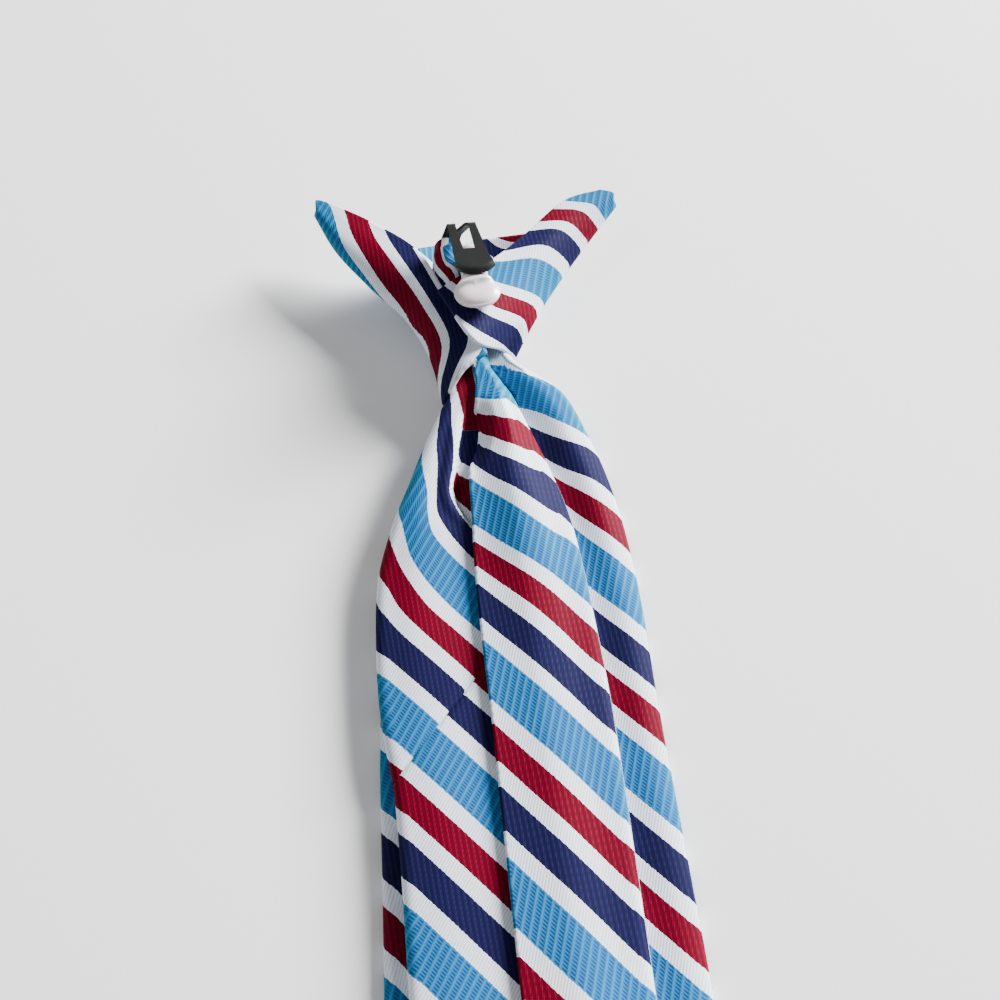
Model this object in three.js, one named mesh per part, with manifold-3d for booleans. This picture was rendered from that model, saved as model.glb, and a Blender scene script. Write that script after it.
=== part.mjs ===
// A ready-tied necktie on a metal clip, lying face down: knot towards +Y, points towards -Y.
// Millimetres, +Z up. The floor is z = 0 and the origin is the middle of the tie's outline on it.
import * as THREE from "three";
import { mergeVertices } from "three/addons/utils/BufferGeometryUtils.js";
import Module from "manifold-3d";

const wasm = await Module();
wasm.setup();

// Driving sizes
const LENGTH = 356;             // knot's highest ear to the front blade's point
const TOP_Y = LENGTH / 2;
const TIP_Y = -LENGTH / 2;
const TAIL_SHORTER = 28;        // how far the tail blade ends before the front blade
const CLOTH = 1.2;              // wall of the doubled cloth
const LAYER = 1.7;              // one cloth middle to the next where layers lie on each other
const POINT_REACH = 60;         // over what length a blade's sections turn into its point

// Cross-sections are this far apart: close where the folds change, wide where the blade runs straight
const SLICE = { closeAbove: 40, close: 6, wide: 20 };
const POINTS = { overlapUnder: 11, overlapOver: 9, meeting: 4, face: 7 };
const TURN_ANGLES = [45, 90, 135];

// Back flaps: how far from the right fold the left flap stops, where and over what length the right
// flap climbs onto it, and where and how wide the hollow beside the seam is
const FLAP = { clearOfFold: 2.6, climbFrom: 2.4, climbLength: 2, dentBeside: 2.2, dentWidth: 2.2 };

const COLOURS = { navy: 0x232d5f, blue: 0x5aa0d7, white: 0xe8e6e2, black: 0x23251f };

// Front blade, one row for each section across it, from inside the knot to the shoulders of its point.
// left and right are its folded edges, base its underside, riseL and riseR the height of the back
// flaps' middle over the face's middle at those edges.
const FRONT_BLADE = [
  { y: 137, left: -5.2, right: 3.2, base: 2.0, riseL: 2.2, riseR: 2.8 },
  { y: 130, left: -5.2, right: 3.2, base: 2.0, riseL: 2.2, riseR: 2.8 },
  { y: 126.2, left: -5.2, right: 3.4, base: 1.9, riseL: 2.2, riseR: 2.9 },
  { y: 124.6, left: -5.2, right: 11.4, base: 1.8, riseL: 2.2, riseR: 3.4 },
  { y: 121, left: -5.2, right: 17.2, base: 1.7, riseL: 2.1, riseR: 3.4 },
  { y: 117, left: -6.4, right: 19.8, base: 1.2, riseL: 2.2, riseR: 3.4 },
  { y: 110, left: -12.0, right: 22.2, base: 0.5, riseL: 2.1, riseR: 3.0 },
  { y: 100, left: -17.0, right: 25.3, base: 0.1, riseL: 2.0, riseR: 2.4 },
  { y: 86, left: -22.6, right: 27.6, base: 0, riseL: 1.9, riseR: 2.0 },
  { y: 69, left: -26.8, right: 28.7, base: 0, riseL: LAYER, riseR: LAYER },
  { y: 41, left: -29.7, right: 28.8, base: 0, riseL: LAYER, riseR: LAYER },
  { y: 9, left: -31.0, right: 29.5, base: 0, riseL: LAYER, riseR: LAYER },
  { y: -60, left: -34.0, right: 31.0, base: 0, riseL: LAYER, riseR: LAYER },
  { y: -143, left: -37.4, right: 32.6, base: 0, riseL: LAYER, riseR: LAYER },
];

// Tail blade, the same columns. seam is the folded edge of its right back flap, under how far the
// left flap reaches in beneath it, and dent the depth of the hollow in the left flap beside it.
const TAIL_BLADE = [
  { y: 137, left: -7.0, right: 3.2, base: 6.2, riseL: 1.9, riseR: 1.9, seam: -2.6, under: 1.2, dent: 0 },
  { y: 127, left: -7.0, right: 3.2, base: 6.4, riseL: 1.9, riseR: 2.0, seam: -2.2, under: 1.4, dent: 0 },
  { y: 122, left: -7.2, right: 4.6, base: 6.4, riseL: 1.9, riseR: 2.2, seam: -1.8, under: 2.6, dent: 0 },
  { y: 118, left: -7.4, right: 6.0, base: 6.3, riseL: 1.9, riseR: 2.3, seam: -2.2, under: 3.2, dent: 0 },
  { y: 116, left: -10.8, right: 6.8, base: 6.1, riseL: 1.9, riseR: 2.4, seam: -2.4, under: 3.8, dent: 0 },
  { y: 110, left: -14.2, right: 8.8, base: 5.6, riseL: 2.4, riseR: 2.3, seam: -2.7, under: 5.2, dent: 0.4 },
  { y: 100, left: -18.8, right: 12.2, base: 4.6, riseL: 3.2, riseR: 2.2, seam: -5.2, under: 7.6, dent: 1.4 },
  { y: 88, left: -24.2, right: 15.3, base: 4.0, riseL: 2.8, riseR: 2.0, seam: -5.8, under: 8.6, dent: 0.9 },
  { y: 76, left: -27.9, right: 16.8, base: 3.5, riseL: 2.0, riseR: 1.8, seam: -6.3, under: 9, dent: 0.1 },
  { y: 60, left: -29.2, right: 17.9, base: 3.3, riseL: LAYER, riseR: LAYER, seam: -6.3, under: 9, dent: 0 },
  { y: 45, left: -29.1, right: 18.6, base: 3.2, riseL: LAYER, riseR: LAYER, seam: -6.0, under: 9, dent: 0 },
  { y: 28, left: -27.2, right: 18.8, base: 3.2, riseL: LAYER, riseR: LAYER, seam: -5.9, under: 9, dent: 0 },
  { y: -14, left: -26.9, right: 18.8, base: 3.2, riseL: LAYER, riseR: LAYER, seam: -5.7, under: 9, dent: 0 },
  { y: -127, left: -26.9, right: 18.8, base: 3.2, riseL: LAYER, riseR: LAYER, seam: -4.6, under: 9, dent: 0 },
];

// Knot cloth, one row from the neck to the ears' points: the free edge and outer fold of the left
// flap, the middle of the front panel, the outer fold and free edge of the right flap, all [x, y, z].
// lift is the height of the front panel half way out to its folds and dip how far its line sags
// towards the neck there. bowL and bowR are how far the middle of each flap stands off the straight
// line between its two edges.
const KNOT = [
  { edgeL: [0.4, 126.6, 13.4], foldL: [-9.6, 117.4, 8.5], mid: [-1.5, 121.5, 0.6], foldR: [6.7, 128.5, 8.5],
    edgeR: [-8.6, 143.7, 16.6], lift: 1.0, dip: 0, bowL: [0, 0, 1.4], bowR: [0, -8.4, 3.2] },
  { edgeL: [-3.0, 134.5, 13.6], foldL: [-11.7, 130.0, 8.3], mid: [-1.0, 132.0, 0.6], foldR: [11.2, 136.5, 8.0],
    edgeR: [-3.2, 147.4, 16.5], lift: 1.0, dip: 0, bowL: [0, 0, 1.2], bowR: [0, -4.0, 3.0] },
  { edgeL: [-7.6, 145.0, 13.6], foldL: [-16.4, 142.0, 8.2], mid: [-0.5, 143.0, 0.6], foldR: [16.6, 145.2, 8.0],
    edgeR: [4.4, 151.9, 15.6], lift: 1.2, dip: 0, bowL: [0, 0, 1.0], bowR: [0, -1.0, 3.0] },
  { edgeL: [-13.4, 158.8, 13.2], foldL: [-25.2, 153.4, 8.8], mid: [0, 154.0, 0.7], foldR: [24.2, 155.4, 8.6],
    edgeR: [13.4, 160.0, 14.2], lift: 2.4, dip: 0, bowL: [0, 0, 0.8], bowR: [0, 0, 2.8] },
  { edgeL: [-23.6, 168.6, 13.0], foldL: [-32.2, 164.6, 10.0], mid: [0, 162.6, 1.2], foldR: [31.6, 164.2, 9.8],
    edgeR: [25.0, 170.2, 14.0], lift: 4.6, dip: 2.4, bowL: [0, 0, 0.4], bowR: [0, 0, 1.6] },
  { edgeL: [-36.4, TOP_Y - 0.25, 13.0], foldL: [-37.12, 175.0, 11.4], mid: [-1.0, 168.6, 2.4], foldR: [37.2, 172.2, 11.6],
    edgeR: [34.8, 174.6, 13.6], lift: 7.4, dip: 5.0, bowL: [0, 0.6, 0.3], bowR: [0, 0.4, 0.5] },
];
const PANEL = { halfway: 0.62, quarter: 0.25, quarterLift: 0.2 };   // places on the way out to a fold
const FOLD = { drop: 2.2, reach: 0.1, under: 0.8, over: 0.6 };      // the cloth's turn at an outer fold
const KNOT_GRID = { rows: 16, perSpan: 3 };
const SAME_POINT = 1e-4;        // vertices nearer than this are one

// The front panel's top edge turned into the hollow
const HEM = {
  left: -8, right: 11, middle: -1, top: 167.6, depth: 7.4, height: 1.9, roll: 1.7, bulge: 1.02,
  curl: 0.016, sag: 0.009, columns: 10, rollRows: 4, flatRows: 4,
};

// White plastic former: a plate in the hollow, a post up to a tab, and the lug at the tab's end
const PLATE = { x: -2.5, y: 151, z: 5.4, width: 15, length: 17, thick: 1.6, corner: 2 };
const LUG = { x: -0.2, y: 141.2, z: 19.6, width: 10.8, length: 11.6, height: 4.2, sides: 20, rings: 12 };
const POST = { x: -0.6, y: 152.4, radius: 2, sides: 16 };
const TAB = { width: 6.8, thick: 1.8, pastPost: 0.2, corner: 1.5 };

// Metal clip: a strip bent over like a hook, with a window cut through its bend
const STRIP = 0.7;
const STRIP_COLUMNS = [-1, -0.75, -0.4, 0, 0.4, 0.75, 1];
const TONGUE = { bendX: -2, skew: 0.152, bendY: 158, endY: 144.2, z: 22.4, endWidth: 8.9, bendWidth: 6.6 };
const TONGUE_END = { round: 2.1, reach: 5, narrowing: 0.92, narrow: 1 };   // its end is an arc
const TONGUE_STEPS = 8;
const BEND_RADIUS = 1.5;
const BEND_ANGLES = [30, 60, 90];
const SEAT_GAP = 0.3;
const LEG = { lean: 0.32, steps: 5, corner: 0.3, footLength: 2.6, footSteps: 2 };
const WINDOW = { halfWidth: 1.6, below: 6.4, legSide: 7.5, through: 3 };

const cloth = (colour) => new THREE.MeshStandardMaterial({ color: colour, roughness: 0.6, metalness: 0 });

function lerp(a, b, t) {
  return a + (b - a) * t;
}

function smooth(t) {
  const c = Math.min(1, Math.max(0, t));
  return c * c * (3 - 2 * c);
}

// Solid between two grids of points, rows by columns: the outer one, the inner one and the rim.
function solidFromGrids(outer, inner) {
  const rows = outer.length;
  const cols = outer[0].length;
  const positions = [];
  for (const grid of [outer, inner]) {
    for (const row of grid) {
      for (const p of row) positions.push(p.x, p.y, p.z);
    }
  }
  const at = (side, i, j) => side * rows * cols + i * cols + j;
  const index = [];
  const quad = (a, b, c, d) => index.push(a, b, c, a, c, d);
  for (let i = 0; i < rows - 1; i += 1) {
    for (let j = 0; j < cols - 1; j += 1) {
      quad(at(0, i, j), at(0, i, j + 1), at(0, i + 1, j + 1), at(0, i + 1, j));
      quad(at(1, i, j), at(1, i + 1, j), at(1, i + 1, j + 1), at(1, i, j + 1));
    }
    quad(at(0, i, 0), at(0, i + 1, 0), at(1, i + 1, 0), at(1, i, 0));
    quad(at(0, i, cols - 1), at(1, i, cols - 1), at(1, i + 1, cols - 1), at(0, i + 1, cols - 1));
  }
  for (let j = 0; j < cols - 1; j += 1) {
    quad(at(0, 0, j), at(1, 0, j), at(1, 0, j + 1), at(0, 0, j + 1));
    quad(at(0, rows - 1, j), at(0, rows - 1, j + 1), at(1, rows - 1, j + 1), at(1, rows - 1, j));
  }
  const geometry = new THREE.BufferGeometry();
  geometry.setAttribute("position", new THREE.Float32BufferAttribute(positions, 3));
  geometry.setIndex(index);
  return facingOut(geometry);
}

// Turns a closed geometry's triangles round if they enclose a negative volume.
function facingOut(geometry) {
  const p = geometry.attributes.position;
  const index = geometry.index.array;
  const a = new THREE.Vector3();
  const b = new THREE.Vector3();
  const c = new THREE.Vector3();
  let volume = 0;
  for (let k = 0; k < index.length; k += 3) {
    a.fromBufferAttribute(p, index[k]);
    b.fromBufferAttribute(p, index[k + 1]);
    c.fromBufferAttribute(p, index[k + 2]);
    volume += a.dot(b.cross(c));
  }
  if (volume < 0) {
    for (let k = 0; k < index.length; k += 3) {
      [index[k + 1], index[k + 2]] = [index[k + 2], index[k + 1]];
    }
  }
  return geometry;
}

// Wall of even thickness about a middle surface given as a grid of points, moved along its normals.
function wallAboutGrid(grid, thickness) {
  const rows = grid.length;
  const cols = grid[0].length;
  const clamp = (v, top) => Math.min(top, Math.max(0, v));
  const offset = (i, j, distance) => {
    const along = grid[clamp(i + 1, rows - 1)][j].clone().sub(grid[clamp(i - 1, rows - 1)][j]);
    const across = grid[i][clamp(j + 1, cols - 1)].clone().sub(grid[i][clamp(j - 1, cols - 1)]);
    const normal = along.cross(across).normalize();
    return grid[i][j].clone().addScaledVector(normal, distance);
  };
  const side = (distance) => grid.map((row, i) => row.map((p, j) => offset(i, j, distance)));
  return solidFromGrids(side(thickness / 2), side(-thickness / 2));
}

// Value of every column of a table at height y, eased through its rows from the knot downwards.
function rowAt(table, y) {
  let k = 0;
  while (k < table.length - 2 && y < table[k + 1].y) k += 1;
  const [r0, r1, r2, r3] = [k - 1, k, k + 1, k + 2].map((i) => table[Math.min(table.length - 1, Math.max(0, i))]);
  const t = (r1.y - y) / (r1.y - r2.y);
  const row = {};
  for (const key of Object.keys(r1)) {
    const slope = (before, after) => (after[key] - before[key]) / (before.y - after.y || 1);
    const m1 = slope(r0, r2) * (r1.y - r2.y);
    const m2 = slope(r1, r3) * (r1.y - r2.y);
    const h = [2 * t ** 3 - 3 * t ** 2 + 1, t ** 3 - 2 * t ** 2 + t, 3 * t ** 2 - 2 * t ** 3, t ** 3 - t ** 2];
    row[key] = h[0] * r1[key] + h[1] * m1 + h[2] * r2[key] + h[3] * m2;
  }
  row.y = y;
  return row;
}

// Middle line of a blade's folded cloth across one section, from the free edge of the left flap,
// round the face, to the free edge of the right flap. A row with no seam has flaps that meet edge
// to edge in the middle.
function bladeSection(row) {
  const overlap = row.under ?? 0;
  const face = row.base + CLOTH / 2;
  const middle = row.seam ?? (row.left + row.right) / 2;
  const leftEnd = overlap ? middle + overlap : middle - CLOTH / 2;
  const rightEnd = overlap ? middle : middle + CLOTH / 2;
  const flapZ = (x) => face + lerp(row.riseL, row.riseR, (x - row.left) / (row.right - row.left));
  const points = [];
  const run = (x0, x1, count, z) => {
    for (let k = 0; k < count; k += 1) {
      const x = lerp(x0, x1, k / (count - 1));
      points.push({ x, z: z(x) });
    }
  };
  const turn = (x, rise, sign) => {
    for (const angle of TURN_ANGLES) {
      const a = THREE.MathUtils.degToRad(angle);
      const up = sign > 0 ? 1 - Math.cos(a) : 1 + Math.cos(a);
      points.push({ x: x + sign * (rise / 2) * Math.sin(a), z: face + (rise / 2) * up });
    }
  };
  const innerL = row.left + CLOTH / 2 + row.riseL / 2;
  const innerR = row.right - CLOTH / 2 - row.riseR / 2;
  const climb = (x) => (overlap ? LAYER * smooth((middle + overlap + FLAP.climbFrom - x) / FLAP.climbLength) : 0);
  const dent = (x) => (row.dent ?? 0) * Math.exp(-(((x - middle + FLAP.dentBeside) / FLAP.dentWidth) ** 2));
  const leftStart = Math.min(leftEnd, innerR - FLAP.clearOfFold);
  run(leftStart, innerL, overlap ? POINTS.overlapUnder : POINTS.meeting, (x) => flapZ(x) - dent(x));
  turn(innerL, row.riseL, -1);
  run(innerL, innerR, POINTS.face, () => face);
  turn(innerR, row.riseR, 1);
  run(innerR, rightEnd, overlap ? POINTS.overlapOver : POINTS.meeting, (x) => flapZ(x) + climb(x));
  return points;
}

// Blade: its folded section at each height, ending in a point at tipY.
function blade(table, tipY) {
  const shoulderY = table[table.length - 1].y;
  const heights = [];
  table.slice(0, -1).forEach((row, k) => {
    const apart = row.y > SLICE.closeAbove ? SLICE.close : SLICE.wide;
    const steps = Math.max(1, Math.round((row.y - table[k + 1].y) / apart));
    for (let i = 0; i < steps; i += 1) heights.push(lerp(row.y, table[k + 1].y, i / steps));
  });
  heights.push(shoulderY);
  const sides = [1, -1].map((side) => heights.map((y) => {
    const row = rowAt(table, y);
    const line = bladeSection(row);
    const centre = (row.left + row.right) / 2;
    const half = (row.right - row.left) / 2;
    const towardsPoint = smooth(1 - (y - shoulderY) / POINT_REACH);
    return line.map((p, k) => {
      const before = line[Math.max(0, k - 1)];
      const after = line[Math.min(line.length - 1, k + 1)];
      const length = Math.hypot(after.x - before.x, after.z - before.z);
      const x = p.x + side * (CLOTH / 2) * (after.z - before.z) / length;
      const z = p.z - side * (CLOTH / 2) * (after.x - before.x) / length;
      const inwards = Math.max(0, half - Math.abs(p.x - centre));
      return new THREE.Vector3(x, y - inwards * (shoulderY - tipY) / half * towardsPoint, z);
    });
  }));
  return solidFromGrids(sides[0], sides[1]);
}

// Knot cloth: a smooth line through the rails of each row, and the rows joined smoothly too.
function knotGrid() {
  const v = (a) => new THREE.Vector3(...a);
  const part = (a, b, t) => a.clone().lerp(b, t);
  const rails = KNOT.map((row) => {
    const [edgeL, foldL, mid, foldR, edgeR] = [row.edgeL, row.foldL, row.mid, row.foldR, row.edgeR].map(v);
    const turned = (fold, towards, dz) => part(fold, towards, FOLD.reach).setZ(fold.z + dz);
    const half = (fold) => part(mid, fold, PANEL.halfway).setZ(row.lift).sub(v([0, row.dip, 0]));
    const quarter = (fold) => part(mid, fold, PANEL.quarter).setZ(lerp(mid.z, row.lift, PANEL.quarterLift));
    const under = -FOLD.drop * FOLD.under;
    const overL = Math.min(FOLD.drop, (edgeL.z - foldL.z) * FOLD.over);
    const overR = Math.min(FOLD.drop, (edgeR.z - foldR.z) * FOLD.over);
    return [
      edgeL, part(edgeL, foldL, 0.5).add(v(row.bowL)), turned(foldL, edgeL, overL), foldL,
      turned(foldL, mid, under), half(foldL), quarter(foldL), mid, quarter(foldR), half(foldR),
      turned(foldR, mid, under), foldR, turned(foldR, edgeR, overR),
      part(foldR, edgeR, 0.5).add(v(row.bowR)), edgeR,
    ];
  });
  const railCurves = rails[0].map((_, k) => new THREE.CatmullRomCurve3(rails.map((r) => r[k]), false, "centripetal"));
  const grid = [];
  for (let i = 0; i < KNOT_GRID.rows; i += 1) {
    const along = railCurves.map((curve) => curve.getPoint(i / (KNOT_GRID.rows - 1)));
    const across = new THREE.CatmullRomCurve3(along, false, "centripetal");
    grid.push(across.getPoints((along.length - 1) * KNOT_GRID.perSpan));
  }
  return grid;
}

// Merged-vertex solid ready for joining and cutting.
function manifoldOf(geometry) {
  const bare = geometry.clone();
  bare.deleteAttribute("normal");
  bare.deleteAttribute("uv");
  const merged = mergeVertices(bare, SAME_POINT);
  return new wasm.Manifold(new wasm.Mesh({
    numProp: 3,
    vertProperties: new Float32Array(merged.attributes.position.array),
    triVerts: new Uint32Array(merged.index.array),
  }));
}

function geometryOf(manifold) {
  const mesh = manifold.getMesh();
  const geometry = new THREE.BufferGeometry();
  geometry.setAttribute("position", new THREE.BufferAttribute(mesh.vertProperties, 3));
  geometry.setIndex(new THREE.BufferAttribute(mesh.triVerts, 1));
  return geometry;
}

// The turned-in top edge: from the panel's edge, over a small roll, down along the panel inside.
function hemGrid() {
  const grid = [];
  for (let i = 0; i <= HEM.columns; i += 1) {
    const x = lerp(HEM.left, HEM.right, i / HEM.columns);
    const away = (x - HEM.middle) ** 2;
    const row = [];
    for (let k = 0; k <= HEM.rollRows + HEM.flatRows; k += 1) {
      const turn = Math.min(1, k / HEM.rollRows) * Math.PI;
      const inward = Math.max(0, (k - HEM.rollRows) / HEM.flatRows) * HEM.depth;
      const y = HEM.top - HEM.sag * away + HEM.bulge * Math.sin(turn) - inward;
      const z = HEM.height + HEM.curl * away + (HEM.roll / 2) * (1 - Math.cos(turn));
      row.push(new THREE.Vector3(x, y, z));
    }
    grid.push(row);
  }
  return grid;
}

function knotCover() {
  const cover = manifoldOf(wallAboutGrid(knotGrid(), CLOTH));
  const hem = manifoldOf(wallAboutGrid(hemGrid(), CLOTH));
  return geometryOf(cover.add(hem));
}

// Flat plate with rounded corners, its underside at z.
function roundedPlate({ x, y, z, width, length, thick, corner }) {
  const [w, l] = [width / 2 - corner, length / 2 - corner];
  const shape = new THREE.Shape();
  shape.absarc(w, -l, corner, -Math.PI / 2, 0);
  shape.absarc(w, l, corner, 0, Math.PI / 2);
  shape.absarc(-w, l, corner, Math.PI / 2, Math.PI);
  shape.absarc(-w, -l, corner, Math.PI, Math.PI * 1.5);
  const options = { depth: thick, bevelEnabled: false, curveSegments: 4 };
  return manifoldOf(new THREE.ExtrudeGeometry(shape, options).translate(x, y, z));
}

function knotFormer() {
  const plate = roundedPlate(PLATE);
  const tabEnd = POST.y + POST.radius + TAB.pastPost;
  const tab = roundedPlate({
    x: (LUG.x + POST.x) / 2, y: (LUG.y + tabEnd) / 2, z: LUG.z - TAB.thick / 2,
    width: TAB.width, length: tabEnd - LUG.y, thick: TAB.thick, corner: TAB.corner,
  });
  const height = LUG.z - PLATE.z;
  const post = new THREE.CylinderGeometry(POST.radius, POST.radius, height, POST.sides);
  post.rotateX(Math.PI / 2).translate(POST.x, POST.y, PLATE.z + height / 2);
  const lug = new THREE.SphereGeometry(0.5, LUG.sides, LUG.rings);
  lug.scale(LUG.width, LUG.length, LUG.height).translate(LUG.x, LUG.y, LUG.z);
  return geometryOf(plate.add(manifoldOf(post)).add(tab).add(manifoldOf(lug)));
}

// Middle line of the clip's strip: along the tongue, round the bend, down the leg and onto the foot.
function clipPath() {
  const path = [];
  const put = (y, z) => {
    const x = TONGUE.bendX + TONGUE.skew * Math.max(0, TONGUE.bendY - y) - LEG.lean * (TONGUE.z - z);
    path.push({ x, y, z });
  };
  for (let k = 0; k <= TONGUE_STEPS; k += 1) put(lerp(TONGUE.endY, TONGUE.bendY, k / TONGUE_STEPS), TONGUE.z);
  for (const angle of BEND_ANGLES) {
    const a = THREE.MathUtils.degToRad(angle);
    put(TONGUE.bendY + BEND_RADIUS * Math.sin(a), TONGUE.z - BEND_RADIUS * (1 - Math.cos(a)));
  }
  const foot = PLATE.z + PLATE.thick + SEAT_GAP + STRIP / 2;
  for (let k = 1; k <= LEG.steps; k += 1) {
    put(TONGUE.bendY + BEND_RADIUS, lerp(TONGUE.z - BEND_RADIUS, foot + BEND_RADIUS, k / LEG.steps));
  }
  put(TONGUE.bendY + BEND_RADIUS * LEG.corner, foot + BEND_RADIUS * LEG.corner);
  for (let k = 0; k <= LEG.footSteps; k += 1) {
    put(TONGUE.bendY - BEND_RADIUS - LEG.footLength * (k / LEG.footSteps), foot);
  }
  return path;
}

// Strip of the given thickness about a path. halfWidth gives its half width at each point, and bow how
// far its sides lie back from its middle there.
function bentStrip(path, thickness, halfWidth, bow) {
  const point = (p, s) => new THREE.Vector3(p.x + s * halfWidth(p), p.y + s * s * bow(p), p.z);
  return manifoldOf(wallAboutGrid(path.map((p) => STRIP_COLUMNS.map((s) => point(p, s))), thickness));
}

function clipGeometry() {
  const path = clipPath();
  const onTongue = (p) => p.z === TONGUE.z;
  const fromEnd = (p) => p.y - TONGUE.endY;
  const stripHalf = (p) => {
    if (!onTongue(p)) return TONGUE.bendWidth / 2;
    const share = fromEnd(p) / (TONGUE.bendY - TONGUE.endY);
    const rounding = fromEnd(p) < TONGUE_END.narrow ? TONGUE_END.narrowing : 1;
    return lerp(TONGUE.endWidth, TONGUE.bendWidth, share) / 2 * rounding;
  };
  const endBow = (p) => (onTongue(p) ? TONGUE_END.round * Math.max(0, 1 - fromEnd(p) / TONGUE_END.reach) : 0);
  const strip = bentStrip(path, STRIP, stripHalf, endBow);
  const cut = path.filter((p) => p.y > TONGUE.bendY - WINDOW.below && p.z > TONGUE.z - WINDOW.legSide);
  return geometryOf(strip.subtract(bentStrip(cut, STRIP * WINDOW.through, () => WINDOW.halfWidth, () => 0)));
}

const tie = new THREE.Group();
const pieces = [
  ["front_blade", blade(FRONT_BLADE, TIP_Y), cloth(COLOURS.blue)],
  ["tail_blade", blade(TAIL_BLADE, TIP_Y + TAIL_SHORTER), cloth(COLOURS.white)],
  ["knot_cover", knotCover(), cloth(COLOURS.navy)],
  ["knot_former", knotFormer(), new THREE.MeshStandardMaterial({ color: COLOURS.white, roughness: 0.25, metalness: 0 })],
  ["clip", clipGeometry(), new THREE.MeshStandardMaterial({ color: COLOURS.black, roughness: 0.35, metalness: 0.9 })],
];
for (const [name, geometry, material] of pieces) {
  const mesh = new THREE.Mesh(geometry, material);
  mesh.name = name;
  tie.add(mesh);
}

export default tie;
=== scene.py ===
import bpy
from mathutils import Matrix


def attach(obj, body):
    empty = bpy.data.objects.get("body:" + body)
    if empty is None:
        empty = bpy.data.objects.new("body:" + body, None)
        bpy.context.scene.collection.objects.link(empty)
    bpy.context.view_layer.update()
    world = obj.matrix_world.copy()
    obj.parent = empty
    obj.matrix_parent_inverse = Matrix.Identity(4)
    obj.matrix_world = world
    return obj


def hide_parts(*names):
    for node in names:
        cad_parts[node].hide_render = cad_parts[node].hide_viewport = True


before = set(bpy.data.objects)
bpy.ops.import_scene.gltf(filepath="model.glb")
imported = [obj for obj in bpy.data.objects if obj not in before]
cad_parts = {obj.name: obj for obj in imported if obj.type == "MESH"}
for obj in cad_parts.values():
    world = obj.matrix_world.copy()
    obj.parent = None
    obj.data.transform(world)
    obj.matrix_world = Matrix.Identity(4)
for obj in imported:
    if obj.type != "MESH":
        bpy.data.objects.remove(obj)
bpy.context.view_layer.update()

import math

import bmesh
import bpy
import numpy as np
from mathutils import Matrix, Vector

# All sizes are in millimetres, in the part's frame, and become metres when a mesh is made.
MM = 0.001

# Cloth
CLOTH = 1.1            # the doubled cloth's wall
LAYER = 1.7            # one cloth middle to the next where layers lie on each other
ROLL = 2.0             # how far in from a fold's edge the cloth starts to turn
REPEAT = 29.0          # one repeat of the stripes, across them
PATTERN = 6.6          # one repeat of the thread patterns, across the threads
STRIPE_ANGLE = math.radians(47.6)
THREAD = (0.86, 0.51)  # sine and cosine of the angle between threads and stripes
THREADS = (math.radians(57), math.radians(73))  # the threads' angles, on the tail's left flap and elsewhere

# Camera, worked out from the photograph
EYE = (-12.86, -37.46, 252.3)
LOOK = (0.04744, 0.46707, -0.88295)
RIGHT = (0.99488, -0.10106, 0.0)


# The camera and the floor

def add_camera():
    """Looks along LOOK from EYE, its picture's right side along RIGHT."""
    look, right = Vector(LOOK).normalized(), Vector(RIGHT).normalized()
    up = right.cross(look)
    data = bpy.data.cameras.new("photo_view")
    data.lens, data.sensor_width, data.sensor_fit = 45.0, 36.0, "HORIZONTAL"
    data.clip_start, data.clip_end = 0.01, 20.0
    camera = bpy.data.objects.new("photo_view", data)
    turn = Matrix((right, up, -look)).transposed().to_4x4()
    camera.matrix_world = Matrix.Translation(Vector(EYE) * MM) @ turn
    bpy.context.scene.collection.objects.link(camera)
    bpy.context.scene.camera = camera


def add_light(name, place, target, size, power):
    """A square soft white light at place, facing target."""
    data = bpy.data.lights.new(name, "AREA")
    data.shape, data.size, data.energy = "SQUARE", size, power
    lamp = bpy.data.objects.new(name, data)
    lamp.location = place
    lamp.rotation_euler = (Vector(target) - Vector(place)).to_track_quat("-Z", "Y").to_euler()
    bpy.context.scene.collection.objects.link(lamp)


def new_material(name):
    """A material with its Principled shader, and the shader node."""
    material = bpy.data.materials.new(name)
    material.use_nodes = True
    return material, material.node_tree.nodes["Principled BSDF"]


def add_floor():
    """A pale square lying just under the tie."""
    half, drop = 3.0, 0.0002
    corners = [(-half, -half, -drop), (half, -half, -drop), (half, half, -drop), (-half, half, -drop)]
    mesh = bpy.data.meshes.new("pale_floor")
    mesh.from_pydata(corners, [], [(0, 1, 2, 3)])
    floor = bpy.data.objects.new("pale_floor", mesh)
    bpy.context.scene.collection.objects.link(floor)
    material, shader = new_material("pale_paper")
    shader.inputs["Base Color"].default_value = (0.93, 0.93, 0.93, 1)
    shader.inputs["Roughness"].default_value = 0.9
    mesh.materials.append(material)


# Surfaces from grids of points

def ease(t):
    """0 below t = 0, 1 above t = 1, and 3t^2 - 2t^3 between."""
    t = np.clip(t, 0.0, 1.0)
    return t * t * (3.0 - 2.0 * t)


def bump(t):
    """A bell: e to the power of minus t squared."""
    return np.exp(-t * t)


def quarter(t):
    """A quarter circle's rise: 0 at t = 0, steep at first, level at t = 1, and 1 beyond."""
    return np.sqrt(np.clip(1 - (1 - np.clip(t, 0, 1)) ** 2, 0, 1))


def cubic(t, start, leave, end, arrive):
    """From start to end as t goes from 0 to 1, with the slope leave at first and arrive at last."""
    return (
        (2 * t**3 - 3 * t**2 + 1) * start + (t**3 - 2 * t**2 + t) * leave
        + (3 * t**2 - 2 * t**3) * end + (t**3 - t**2) * arrive
    )


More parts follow.
